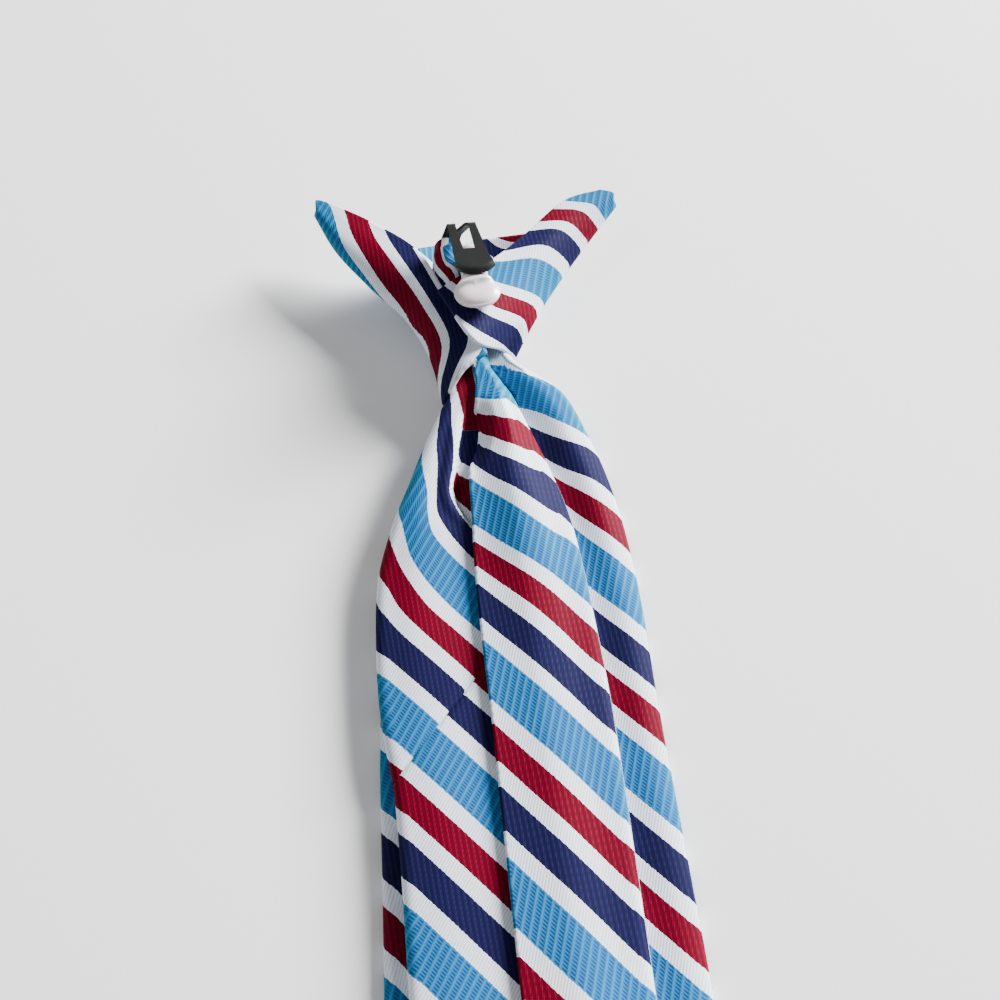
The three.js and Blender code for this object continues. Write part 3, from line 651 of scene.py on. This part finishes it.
def knot_rails():
    """The fifteen lines that the knot's cloth runs through, from the left flap's free edge round both
    folds to the right flap's free edge, at each of the six rows."""
    edge_l, fold_l, middle, fold_r, edge_r = np.swapaxes(KNOT_ROWS, 0, 1)
    bow_l, bow_r = np.swapaxes(KNOT_BOWS, 0, 1)
    lift, dip, dip_l, dip_r = KNOT_PANEL.T
    low = middle[:, 2] + PANEL_INNER_RISE * (lift - middle[:, 2])

    def beside(fold, towards, rise):
        point = fold + FOLD_IN * (towards - fold)
        point[:, 2] = fold[:, 2] + rise
        return point

    def over(fold, edge):
        return beside(fold, edge, np.minimum(FOLD_OVER, (edge - fold)[:, 2] * FOLD_OVER_SHARE))

    def out(fold, share, height, drop):
        point = middle + share * (fold - middle)
        point[:, 2] = height
        point[:, 1] -= drop
        return point

    return np.stack([
        edge_l, (edge_l + fold_l) / 2 + bow_l, over(fold_l, edge_l), fold_l,
        beside(fold_l, middle, -FOLD_UNDER), out(fold_l, PANEL_OUTER, lift, dip),
        out(fold_l, PANEL_INNER, low, dip_l), middle, out(fold_r, PANEL_INNER, low, dip_r),
        out(fold_r, PANEL_OUTER, lift, dip), beside(fold_r, middle, -FOLD_UNDER),
        fold_r, over(fold_r, edge_r), (fold_r + edge_r) / 2 + bow_r, edge_r,
    ], 1)


def knot_surface(rows, columns):
    """Middle surface of the knot's cloth: a smooth line along each rail, and one across all rails."""
    v, c = np.linspace(0, LAST_ROW, rows), np.linspace(0, LAST_RAIL, columns)
    along = smooth_line(knot_rails(), v)
    grid = smooth_line(np.swapaxes(along, 0, 1), c)
    return np.swapaxes(grid, 0, 1), v, c


def knot_stripes(grid, v, c):
    """The stripe coordinates of the knot's cloth. On each flap the phase is a smooth table of row and
    rail. On the panel between the folds it changes evenly with the distance along the row, from the
    left fold's value to the right fold's less two. The distance along the stripes is taken along the
    rails on the left flap, along the rows on the right one, and turns from one to the other between.
    The second coordinate is the distance across the threads, which slant over the stripes and run
    straight on the flaps."""
    left, right = at_heights(PHASES_L, v), at_heights(PHASES_R, v) - 2
    rails = np.arange(RAIL_L + 1.0)[::-1]
    on_left = at_heights(np.column_stack([rails, left.T[::-1]]), np.clip(c, 0, RAIL_L)).T
    on_right = at_heights(np.column_stack([rails, right.T]), np.clip(LAST_RAIL - c, 0, RAIL_L)).T
    across, down = lengths(grid, 1), lengths(grid, 0)
    fold_l, middle, fold_r = (across[:, [np.argmin(np.abs(c - k))]] for k in (RAIL_L, RAIL_MIDDLE, RAIL_R))
    share = np.clip((across - fold_l) / (fold_r - fold_l), 0, 1)
    panel = left[:, 3:] + (right[:, :1] - left[:, 3:]) * share
    phase = np.where(c < RAIL_L, on_left, np.where(c > RAIL_R, on_right, panel))
    turn = share * math.pi / 2
    along = (down * np.cos(turn) - (across - middle) * np.sin(turn)) / REPEAT
    thread = THREAD[0] * along - THREAD[1] * phase
    on_flaps = (ease((RAIL_L + 0.5 - c) / 0.5), ease((c - RAIL_R + 0.5) / 0.5))
    for angle, near in zip(THREADS, on_flaps):
        straight = (grid[..., 0] * math.sin(angle) - grid[..., 1] * math.cos(angle)) / REPEAT
        thread = thread + near * (straight - thread)
    return np.stack([phase, thread], -1)


def turned_in_edge(rows, columns):
    """The front panel's top edge turned into the hollow: from outside the edge over a half round roll
    and down along the panel inside. Its line drops to both sides, and rises off the floor there, with
    the square of the distance from its middle."""
    x = np.linspace(TURNED["left"], TURNED["right"], columns)[None, :]
    t = np.linspace(0, 1, rows)[:, None]
    roll = np.minimum(t / TURNED["roll"], 1) * math.pi
    inward = np.maximum(0, (t - TURNED["roll"]) / (1 - TURNED["roll"])) * TURNED["deep"]
    y = TURNED["y"] - 0.018 * (x - 1) ** 2 + np.sin(roll) - inward
    z = TURNED["z"] + 0.021 * (x + 1) ** 2 + TURNED["high"] * (1 - np.cos(roll))
    return np.stack([x + 0 * t, y, z], -1)


def turned_stripes(grid):
    """The stripe coordinates of the turned in edge: TURNED_PHASES by x, with a slow change along y, and
    the distance along the stripes, across slanting threads."""
    x, y = grid[..., 0], grid[..., 1]
    phase = np.interp(x, TURNED_PHASES[:, 0], TURNED_PHASES[:, 1]) - 0.04 * (y - 165)
    along = (x * math.cos(STRIPE_ANGLE) - y * math.sin(STRIPE_ANGLE)) / REPEAT
    return np.stack([phase, THREAD[0] * along - THREAD[1] * phase], -1)


def tucked_loop(rows, columns):
    """The loop of cloth that stands in the hollow beside the clip: at each place along it, half an oval
    from the left foot over the top to the right foot, with straight sides below. Returns the points
    and the share of the way over the oval."""
    b = np.linspace(0, 1, rows)
    y, left, right, high = (np.interp(b, LOOP[:, 0], LOOP[:, k])[:, None] for k in range(1, 5))
    a = np.linspace(0, 1, columns)[None, :]
    over = np.clip((a - LOOP_SIDE) / (1 - 2 * LOOP_SIDE), 0, 1)
    turn = math.pi * over
    middle, half = (left + right) / 2, (right - left) / 2
    shoulder = high - np.minimum(half * 1.15, high - LOOP_FOOT - 0.4)
    side = np.clip(np.minimum(a, 1 - a) / LOOP_SIDE, 0, 1)
    below, above = LOOP_FOOT + (shoulder - LOOP_FOOT) * side, shoulder + (high - shoulder) * np.sin(turn)
    z = np.where(side < 1, below, above)
    return np.stack([middle - half * np.cos(turn) + 0 * z, y + LOOP_LEAN * (z - LOOP_FOOT), z], -1), over


def loop_stripes(grid, over):
    """The stripe coordinates of the tucked loop: the phase falls on the way over it and rises towards
    the lug, and is a little less in a patch on its right side."""
    y = grid[..., 1]
    patch = ease((over - 0.36) / 0.12) * ease((y - 150.0) / 3) * ease((156.4 - y) / 1.0)
    phase = 0.66 + 0.24 * ease((154.5 - y) / 9) - 0.65 * over - 0.14 * patch
    return np.stack([phase, THREAD[0] * y / REPEAT - THREAD[1] * phase], -1)


# The plastic former and the metal clip

LUG = {"x": -0.1, "y": 141.4, "z": 19.3, "wide": 5.5, "long": 5.3, "high": 2.3, "step": 0.7}
POST = {"x": -0.6, "y": 152.4, "radius": 2.0, "flare": 0.35}
TAB = {"wide": 6.2, "thick": 2.6, "start": 1.0, "end": 0.2, "high": 0.35, "drop": 0.5}
PLATE = {
    "x": -2.5, "y": 151.0, "z": 5.4, "wide": 15.0, "long": 17.0, "thick": 1.6, "corner": 2.0, "edge": 0.5,
}
TONGUE = {
    "bend_x": -2.0, "bend_y": 157.7, "bend_wide": 6.6, "end_y": 144.2, "end_wide": 8.9,
    "skew": 0.152, "z": 22.4,
}
STRIP = 0.7          # the clip's strip is this thick
BEND = 1.5           # the radius of its bends
FOOT_GAP = 0.3       # between the plate and the clip's foot
LEAN = (0.30, 0.80)  # how far the left and right leg lean to the left for each millimetre down
LEGS_MEET = 4.2      # how far down the window between the legs closes


def rounded(value, power):
    """A cosine or sine bent towards a square's: its sign times its size to the given power."""
    return np.sign(value) * np.abs(value) ** power


def lug_head(n_round, n_up):
    """The lug: at angle a round it and b up it the point is centre + (wide cos b cos a, long cos b
    sin a, high sin b) with each cosine and sine squared off a little. It is narrower towards the clip,
    and its top steps down from the flat under the tongue to the round end, along a slanting line."""
    a = np.linspace(0, 2 * math.pi, n_round, endpoint=False)[None, :]
    b = np.linspace(-math.pi / 2, math.pi / 2, n_up)[:, None]
    ring = rounded(np.cos(b), 0.62)
    y = LUG["long"] * ring * rounded(np.sin(a), 0.84)
    x = LUG["wide"] * ring * rounded(np.cos(a), 0.84) * (1 - 0.42 * ease((y + 1.5) / 6.5))
    z = LUG["high"] * rounded(np.sin(b), 0.9) - 0.12 * np.minimum(y, 1.0) + 0 * a
    top = ease(np.sin(b) / 0.5)
    past = y - 0.18 * x
    z = z - LUG["step"] * top * ease((1.6 - past) / 0.9) + 0.25 * top * bump((past - 1.3) / 0.8)
    return np.stack([LUG["x"] + x, LUG["y"] + y, LUG["z"] + z], -1)


def swept_rings(centre, wide, high, n_round, power):
    """Rings of a bar along a line of centres that runs mostly along y: at each one a rounded rectangle,
    wide across x and high square to the line."""
    along = unit(np.gradient(centre, axis=0))
    side = np.array([1.0, 0, 0])
    up = unit(np.cross(side, along))
    a = np.linspace(0, 2 * math.pi, n_round, endpoint=False)[None, :, None]
    return (
        centre[:, None]
        + side * (wide[:, None, None] / 2) * rounded(np.cos(a), power)
        + up[:, None] * (high[:, None, None] / 2) * rounded(np.sin(a), power)
    )


def closed_rings(rings):
    """A stack of rings as points and faces, with its first and last ring drawn in to a point each."""
    first, last = rings[:1].mean(1, keepdims=True), rings[-1:].mean(1, keepdims=True)
    n = rings.shape[1]
    rings = np.concatenate([np.repeat(first, n, 1), rings, np.repeat(last, n, 1)])
    return rings.reshape(-1, 3), ring_faces(*rings.shape[:2])


def joined(parts):
    """Several sets of points and faces as one."""
    points, faces, count = [], [], 0
    for p, f in parts:
        points.append(p)
        faces.append(f + count)
        count += len(p)
    return np.concatenate(points), np.concatenate(faces)


def end_taper(n, steps):
    """Widths of a bar's n rings that close at both ends in a quarter circle over so many steps."""
    return quarter(np.minimum(np.arange(n), np.arange(n)[::-1]) / steps)


def former_parts():
    """Plate in the hollow, post, tab from the post to the lug, and the lug."""
    y = np.sin(np.linspace(-1, 1, 40) * math.pi / 2) * PLATE["long"] / 2
    centre = np.stack([0 * y + PLATE["x"], PLATE["y"] + y, 0 * y + PLATE["z"] + PLATE["thick"] / 2], -1)
    inset = PLATE["long"] / 2 - np.abs(y)
    wide = PLATE["wide"] - 2 * PLATE["corner"] * (1 - quarter(inset / PLATE["corner"]))
    high = PLATE["thick"] * quarter(inset / PLATE["edge"])
    plate = closed_rings(swept_rings(centre, wide, high, 40, 0.3))
    start = np.array([LUG["x"], LUG["y"] - TAB["start"], LUG["z"] + TAB["high"]])
    end_y, end_z = POST["y"] + POST["radius"] + TAB["end"], LUG["z"] + TAB["high"] - TAB["drop"]
    centre = start + (np.array([POST["x"], end_y, end_z]) - start) * np.linspace(0, 1, 30)[:, None]
    taper = end_taper(30, 4)
    tab = closed_rings(swept_rings(centre, TAB["wide"] * taper, TAB["thick"] * taper, 32, 0.5))
    z = np.linspace(PLATE["z"] + 0.4, LUG["z"], 16)[:, None]
    a = np.linspace(0, 2 * math.pi, 32, endpoint=False)[None, :]
    radius = POST["radius"] * (1 + POST["flare"] * bump((z - PLATE["z"] - PLATE["thick"]) / 1.2))
    post = np.stack([POST["x"] + radius * np.cos(a), POST["y"] + radius * np.sin(a), z + 0 * a], -1)
    return joined([plate, closed_rings(post), tab, closed_rings(lug_head(64, 40))])


def clip_line(n):
    """Middle line of the clip's strip: along the tongue from its end, a quarter circle down at the
    bend, down the leg and in along the foot. Points lie at even lengths along it."""
    foot = PLATE["z"] + PLATE["thick"] + FOOT_GAP + STRIP / 2
    a = np.linspace(0, math.pi / 2, 14)
    corner = np.linspace(0, math.pi / 2, 10)
    y = np.concatenate([
        np.linspace(TONGUE["end_y"], TONGUE["bend_y"], 30)[:-1],
        TONGUE["bend_y"] + BEND * np.sin(a),
        np.full(12, TONGUE["bend_y"] + BEND),
        TONGUE["bend_y"] + BEND * np.cos(corner),
        np.linspace(TONGUE["bend_y"] - 0.4, TONGUE["bend_y"] - 4.1, 8),
    ])
    z = np.concatenate([
        np.full(29, TONGUE["z"]),
        TONGUE["z"] - BEND * (1 - np.cos(a)),
        np.linspace(TONGUE["z"] - BEND - 0.8, foot + BEND + 0.8, 12),
        foot + BEND * (1 - np.sin(corner)),
        np.full(8, foot),
    ])
    length = np.concatenate([[0], np.cumsum(np.hypot(np.diff(y), np.diff(z)))])
    even = np.linspace(0, length[-1], n)
    return np.interp(even, length, y), np.interp(even, length, z)


def clip_surface():
    """Middle surface of the clip, along by across, and which of its faces the window leaves in. The
    tongue widens evenly to its end, where it bows back, mostly with the fourth power of the way out to
    its sides. Below the bend both legs lean to the left, the right one more, until they meet."""
    y, z = clip_line(170)
    s = [np.linspace(-1, -0.5, 6), np.linspace(-0.42, 0.42, 7), np.linspace(0.5, 1, 6)]
    s = np.concatenate(s)[None, :]
    on_tongue = z > TONGUE["z"] - 0.02
    share = np.clip((y - TONGUE["end_y"]) / (TONGUE["bend_y"] - TONGUE["end_y"]), 0, 1)
    wide = TONGUE["end_wide"] + (TONGUE["bend_wide"] - TONGUE["end_wide"]) * share
    centre = TONGUE["bend_x"] + TONGUE["skew"] * np.maximum(0, TONGUE["bend_y"] - y) * on_tongue
    down = TONGUE["z"] - z
    left = centre - wide / 2 - LEAN[0] * down
    right = centre + wide / 2 - LEAN[1] * np.minimum(down, LEGS_MEET)
    right = right - LEAN[0] * np.maximum(0, down - LEGS_MEET)
    slot = 0.46 - 0.016 * np.clip(TONGUE["bend_y"] - y, 0, 7)
    slot = (slot - 0.45 * np.clip(down / (LEGS_MEET + 0.3), 0, 1))[:, None]
    beside = np.sign(s) * (slot + (np.abs(s) - 0.5) / 0.5 * (1 - slot))
    place = np.where(np.abs(s) <= 0.5, s / 0.5 * slot, beside)
    x = (left + right)[:, None] / 2 + place * (right - left)[:, None] / 2
    bow = (np.clip(1 - (y - TONGUE["end_y"]) / 5, 0, 1) * on_tongue)[:, None]
    lip = 0.9 * np.clip(1 - (y - TONGUE["end_y"]) / 1.4, 0, 1) ** 2 * on_tongue
    grid = np.stack([x, y[:, None] + bow * (1.9 * s**4 + 0.3 * s**2), (z - lip)[:, None] + 0 * s], -1)
    mid_y, mid_z = (y[1:] + y[:-1]) / 2, (z[1:] + z[:-1]) / 2
    in_slot = ((mid_y > TONGUE["bend_y"] - 6.8) & (mid_z > TONGUE["z"] - LEGS_MEET))[:, None]
    in_middle = (np.abs((s[0, 1:] + s[0, :-1]) / 2) < 0.47)[None, :]
    return grid, ~(in_slot & in_middle)


# Materials

LIGHT_BLUE = (0.013, 0.118, 0.34)
# Painted sheen: the cyan that light blue shifts to where the cloth turns from the view
SHEEN_CYAN = (0.006, 0.21, 0.27)
NAVY = (0.0078, 0.0075, 0.043)
RED = (0.118, 0.0, 0.011)
WHITE = (0.78, 0.83, 0.91)
# Where each colour of the repeat ends, as a share of it
RECIPE = [(0.29, LIGHT_BLUE), (0.405, WHITE), (0.575, RED), (0.69, WHITE), (0.885, NAVY), (1.0, WHITE)]
# The bright threads and specks are partly woven pattern and partly painted highlight for the satin's shine;
# the dark between threads is partly painted shade
THREAD_SHINE = (0.16, 0.85, 0.90)  # the bright threads' colour on light blue
SPECK_SHINE = (2.6, 2.6, 2.6)      # how many times brighter the specks are than red and navy
SHADOW = (0.30, 0.33, 0.40)        # the share of a colour left in the dark between threads
TOOTH, TOOTH_PITCH = 0.005, 1.15   # the saw tooth on the stripes' borders, in repeats, and its length
RIB_PITCH = PATTERN / 4            # light blue: from one bright thread to the next
TICK_PITCH = 0.58                  # light blue: from one dark tick to the next
FINE_PITCH = PATTERN / 11          # white: from one grey thread line to the next
ROW_PITCH = PATTERN / 6            # red and navy: from one row of specks to the next
ROW_SLANT = 0.094                  # how far those rows lean, across for each millimetre along
# Red and navy: from one speck to the next, and each row's shift in specks
SPECK_PITCH, SPECK_SHIFT = 0.62, 0.37


class Value:
    """A node's output, to reckon with as with a number: each step adds a Math node beside it."""

    def __init__(self, socket):
        self.socket = socket

    def math(self, kind, *others):
        node = self.socket.id_data.nodes.new("ShaderNodeMath")
        node.operation = kind
        for value, socket in zip((self, *others), node.inputs):
            put(value, socket)
        return Value(node.outputs[0])

    def __add__(self, other):
        return self.math("ADD", other)

    def __sub__(self, other):
        return self.math("SUBTRACT", other)

    def __rsub__(self, other):
        return self.math("MULTIPLY_ADD", -1.0, other)

    def __mul__(self, other):
        return self.math("MULTIPLY", other)

    def __truediv__(self, other):
        return self.math("DIVIDE", other)

    def __pow__(self, other):
        return self.math("POWER", other)


def put(value, socket):
    """Gives a socket a value, or joins it to another node's output."""
    if isinstance(value, Value):
        socket.id_data.links.new(value.socket, socket)
    else:
        socket.default_value = value


def put_all(node, **values):
    """Gives a node's inputs their values, by name."""
    for name, value in values.items():
        put(value, node.inputs[name])


def add_node(tree, kind, **values):
    """A shader node of that kind, with values for its inputs."""
    node = tree.nodes.new("ShaderNode" + kind)
    put_all(node, **values)
    return node


def add_noise(tree, place, size, detail):
    """A smooth noise from 0 to 1."""
    return Value(add_node(tree, "TexNoise", Vector=place, Scale=size, Detail=detail).outputs["Fac"])


def blend_colours(tree, share, first, second, kind="MIX"):
    """A mix of two colours by share, or their product."""
    node = tree.nodes.new("ShaderNodeMix")
    node.data_type, node.blend_type = "RGBA", kind
    put(share, node.inputs["Factor"])
    for colour, place in ((first, 6), (second, 7)):
        put(colour if isinstance(colour, Value) else (*colour, 1.0), node.inputs[place])
    return Value(node.outputs[2])


def colour_steps(tree, share, starts, colours):
    """The last of the colours whose start lies below share."""
    node = add_node(tree, "ValToRGB", Fac=share)
    node.color_ramp.interpolation = "CONSTANT"
    elements = node.color_ramp.elements
    while len(elements) < len(starts):
        elements.new(0.5)
    for element, start, colour in zip(elements, starts, colours):
        element.position, element.color = start, (*colour, 1.0)
    return Value(node.outputs[0])


def wave(value, pitch):
    """A cosine from 0 to 1 with that pitch."""
    return (value * (2 * math.pi / pitch)).math("COSINE") * 0.5 + 0.5


def new_group(name, inputs, outputs):
    """A node group with (name, kind, value) inputs and (name, kind) outputs: the group, its inputs as
    values by name, and its end node."""
    group = bpy.data.node_groups.new(name, "ShaderNodeTree")
    for label, kind, value in inputs:
        socket = group.interface.new_socket(name=label, in_out="INPUT", socket_type="NodeSocket" + kind)
        if value is not None:
            socket.default_value = value
    for label, kind in outputs:
        group.interface.new_socket(name=label, in_out="OUTPUT", socket_type="NodeSocket" + kind)
    entry = group.nodes.new("NodeGroupInput")
    given = {label: Value(entry.outputs[label]) for label, kind, value in inputs}
    return group, given, group.nodes.new("NodeGroupOutput")


def place_group(tree, group, **values):
    """A group in a material, with its inputs' values by name, as its outputs by name."""
    node = tree.nodes.new("ShaderNodeGroup")
    node.node_tree = group
    put_all(node, **values)
    return {socket.name: Value(socket) for socket in node.outputs}


def stripe_group():
    """Reads the stripe coordinates: the phase gives the colour, with a small saw tooth and a little
    noise on each border, and masks for the kinds of weave."""
    measures = [(name, "Float") for name in ("Blue", "White", "Dark", "Across", "Along")]
    group, given, result = new_group(
        "tie_stripes", [("Stripes", "Vector", None)], [("Colour", "Color"), *measures],
    )
    split = add_node(group, "SeparateXYZ", Vector=given["Stripes"])
    phase, thread = (Value(socket) for socket in split.outputs[:2])
    across, along = phase * REPEAT, thread * REPEAT
    saw = along.math("PINGPONG", TOOTH_PITCH / 2) / TOOTH_PITCH - 0.25
    uneven = add_noise(group, given["Stripes"], 60.0, 2.0) - 0.5
    place = (phase + (uneven * 2.0 + saw) * TOOTH).math("FRACT")
    starts = [0.0] + [end for end, colour in RECIPE[:-1]]
    colours = [colour for end, colour in RECIPE]
    kinds = {LIGHT_BLUE: (1, 0, 0), WHITE: (0, 1, 0), RED: (0, 0, 1), NAVY: (0, 0, 1)}
    masks = colour_steps(group, place, starts, [kinds[colour] for colour in colours])
    blue, white, dark = (Value(socket) for socket in add_node(group, "SeparateColor", Color=masks).outputs)
    put_all(result, Colour=colour_steps(group, place, starts, colours), Blue=blue, White=white, Dark=dark)
    put_all(result, Across=across, Along=along)
    return group


def weave_group():
    """Three weaves by mask. Light blue has a thin bright thread every rib pitch, and rows of short dark
    ticks between two of them; white has thin grey thread lines; red and navy have rows of small
    bright specks that run along the tie, each row shifted against the last, with dark lines between. A
    noise makes the threads uneven. Gives how much to lighten and darken, and the height."""
    group, given, result = new_group(
        "tie_weave",
        [(name, "Float", 0.0) for name in ("Blue", "White", "Dark", "Across", "Along")],
        [(name, "Float") for name in ("Lighten", "Darken", "Height")],
    )
    blue, white, dark, across, along = given.values()
    place = add_node(group, "CombineXYZ", X=across, Y=along * 3.0)
    uneven = add_noise(group, Value(place.outputs[0]), 0.9, 2.0) * 1.6 + 0.2
    rib, tick = wave(along, RIB_PITCH), wave(across, TICK_PITCH)
    valley = 1.0 - rib**1.5
    thread = rib**5.0 * 0.8 + (1.0 - tick) * valley * 0.35
    gap = valley * (tick**1.2 * 0.95 + 0.12)
    fine = wave(along, FINE_PITCH)
    line = (1.0 - fine) ** 3.0
    spot = Value(add_node(group, "TexCoord").outputs["Object"])
    x, y = (Value(socket) for socket in add_node(group, "SeparateXYZ", Vector=spot).outputs[:2])
    row = (y * ROW_SLANT + x) * (1 / MM) / ROW_PITCH
    in_row = wave(row, 1.0)
    speck = wave(along / SPECK_PITCH + row.math("FLOOR") * SPECK_SHIFT, 1.0)
    speck = (in_row * (speck * 0.7 + 0.3)) ** 2.0
    between_rows = (1.0 - in_row) ** 2.0
    raised = speck * 0.8 * dark
    # Lighten is partly woven pattern and partly painted highlight on threads and specks; Darken is partly
    # painted shade between threads
    put_all(
        result,
        Lighten=(thread * blue + raised) * uneven,
        Darken=gap * blue + line * (uneven * 0.65) * white + between_rows * 0.6 * dark,
        Height=(rib**2.0 - gap * 0.6) * blue + (fine * 0.5 + 0.5) * white + raised,
    )
    return group


def wear_group():
    """Soft uneven patches from a low noise on the piece's own place: a value near 1, by Amount."""
    group, given, result = new_group(
        "handling", [("Size", "Float", 120.0), ("Amount", "Float", 0.1)], [("Shade", "Float")],
    )
    place = Value(add_node(group, "TexCoord").outputs["Object"])
    put_all(result, Shade=(add_noise(group, place, given["Size"], 3.0) - 0.5) * given["Amount"] + 1.0)
    return group


def striped_cloth(name, stripes, weave, wear):
    """Satin cloth woven in bias stripes. Where it turns from the view, its light blue shifts towards cyan: a
    painted sheen.
    """
    material, shader = new_material(name)
    tree = material.node_tree
    coordinates = tree.nodes.new("ShaderNodeUVMap")
    coordinates.uv_map = "stripes"
    paint = place_group(tree, stripes, Stripes=Value(coordinates.outputs[0]))
    plain = paint.pop("Colour")
    thread = place_group(tree, weave, **paint)
    shade = place_group(tree, wear, Size=90.0, Amount=0.16)["Shade"]
    # Painted sheen: light blue turns cyan where the surface faces away from the view
    facing = Value(add_node(tree, "LayerWeight", Blend=0.5).outputs["Facing"])
    away = (facing * 2.2 - 0.25).math("MAXIMUM", 0.0).math("MINIMUM", 1.0)
    cloth = blend_colours(tree, away * (paint["Blue"] * 0.65), plain, SHEEN_CYAN)
    # Bright threads and specks, partly painted highlight, then darkening between threads, partly painted
    # shade
    light = blend_colours(tree, 0.26, cloth, THREAD_SHINE)
    light_dark = blend_colours(tree, 1.0, plain, SPECK_SHINE, "MULTIPLY")
    light = blend_colours(tree, paint["Dark"], light, light_dark)
    colour = blend_colours(tree, thread["Lighten"] * 0.55, cloth, light)
    deep = blend_colours(tree, 1.0, colour, SHADOW, "MULTIPLY")
    colour = blend_colours(tree, thread["Darken"] * 0.68, colour, deep)
    grey = Value(add_node(tree, "CombineColor", Red=shade, Green=shade, Blue=shade).outputs[0])
    colour = blend_colours(tree, 1.0, colour, grey, "MULTIPLY")
    bumps = add_node(tree, "Bump", Distance=0.0001, Strength=0.6, Height=thread["Height"])
    put_all(shader, Roughness=thread["Height"] * -0.12 + 0.62, Normal=Value(bumps.outputs[0]))
    put_all(shader, **{"Base Color": colour, "Specular IOR Level": 0.05})
    return material


def glossy_plastic(wear):
    """Milky white moulded plastic, faintly pink, with a little light let through."""
    material, shader = new_material("milky_plastic")
    tree = material.node_tree
    shade = place_group(tree, wear, Size=260.0, Amount=0.08)["Shade"]
    base = blend_colours(tree, shade, (0.60, 0.50, 0.53), (0.76, 0.68, 0.70))
    put_all(shader, Roughness=shade * 0.27, **{
        "Base Color": base, "Subsurface Weight": 0.35, "Subsurface Radius": (0.004, 0.003, 0.003),
        "Subsurface Scale": 0.4, "Coat Weight": 0.4, "Coat Roughness": 0.15,
    })
    return material


def satin_black_metal(wear):
    """Blackened steel with a grey green cast, fine grain and a rubbed look."""
    material, shader = new_material("black_steel")
    tree = material.node_tree
    shade = place_group(tree, wear, Size=700.0, Amount=0.5)["Shade"]
    base = blend_colours(tree, shade * 0.5, (0.005, 0.006, 0.0055), (0.022, 0.025, 0.0225))
    put_all(shader, Metallic=0.5, Roughness=shade * 0.12 + 0.30)
    put_all(shader, **{"Base Color": base, "Coat Weight": 0.25, "Coat Roughness": 0.35})
    return material


# Putting the tie together

def cloth_piece(name, grid, stripes, thickness, material, node):
    """A walled cloth piece of that thickness that stands for its CAD node, which it hides."""
    points, faces, paint = rounded_wall(grid, stripes, thickness)
    piece = piece_from(name, points, faces, paint, material)
    if node:
        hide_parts(node)
    return piece


def build_blades(material):
    tail = folded_blade(TAIL_BLADE, -150.0, tail_left_flap, tail_right_flap, (68, 9, 24))
    paint = stripe_map(tail, TAIL_PHASES, THREADS, 1, (tail_left_bend, tail_right_bend))
    cloth_piece("tail_cloth", tail[0], paint, CLOTH, material, "tail_blade")
    front = folded_blade(FRONT_BLADE, -178.0, front_flap, front_flap, (52, 9, 36))
    bends = (front_left_bend, front_right_bend)
    paint = stripe_map(front, FRONT_PHASES, (THREADS[1], THREADS[1]), -1, bends)
    cloth_piece("front_cloth", front[0], paint, CLOTH, material, "front_blade")


def build_knot(material):
    grid, v, c = knot_surface(110, 190)
    paint = knot_stripes(grid, v, c)
    cloth_piece(
        "knot_cloth", grid, paint, KNOT_WALL, material, "knot_cover",
    )
    grid = turned_in_edge(40, 90)
    paint = turned_stripes(grid)
    cloth_piece("turned_in_edge", grid, paint, TURNED_WALL, material, None)
    grid, over = tucked_loop(60, 60)
    paint = loop_stripes(grid, over)
    cloth_piece("tucked_loop", grid, paint, LOOP_WALL, material, None)


def build_hardware(plastic, metal):
    points, faces = former_parts()
    former = piece_from("plastic_former", points, faces, None, plastic)
    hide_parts("knot_former")
    grid, kept = clip_surface()
    columns = grid.shape[1]
    i, j = np.nonzero(kept)
    corner = i * columns + j
    faces = np.stack([corner, corner + 1, corner + columns + 1, corner + columns], -1)
    clip = piece_from("clip_strip", grid.reshape(-1, 3), faces, None, metal)
    wall = clip.modifiers.new("wall", "SOLIDIFY")
    wall.thickness, wall.offset = STRIP * MM, 0.0
    edge = clip.modifiers.new("edge", "BEVEL")
    edge.width, edge.segments, edge.limit_method, edge.angle_limit = 0.16 * MM, 2, "ANGLE", math.radians(50)
    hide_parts("clip")


add_camera()
add_floor()
add_light("window_right", (1.6, 1.15, 0.80), (0, 0.06, 0), 0.8, 262.0)
add_light("window_left", (-1.2, 0.10, 1.4), (0, 0.1, 0), 1.0, 8.0)
world = bpy.data.worlds.new("pale_room")
bpy.context.scene.world = world
world.use_nodes = True
world.node_tree.nodes["Background"].inputs[0].default_value = (0.95, 0.97, 1.0, 1)
world.node_tree.nodes["Background"].inputs[1].default_value = 0.25

wear = wear_group()
satin = striped_cloth("striped_satin", stripe_group(), weave_group(), wear)
build_blades(satin)
build_knot(satin)
build_hardware(glossy_plastic(wear), satin_black_metal(wear))
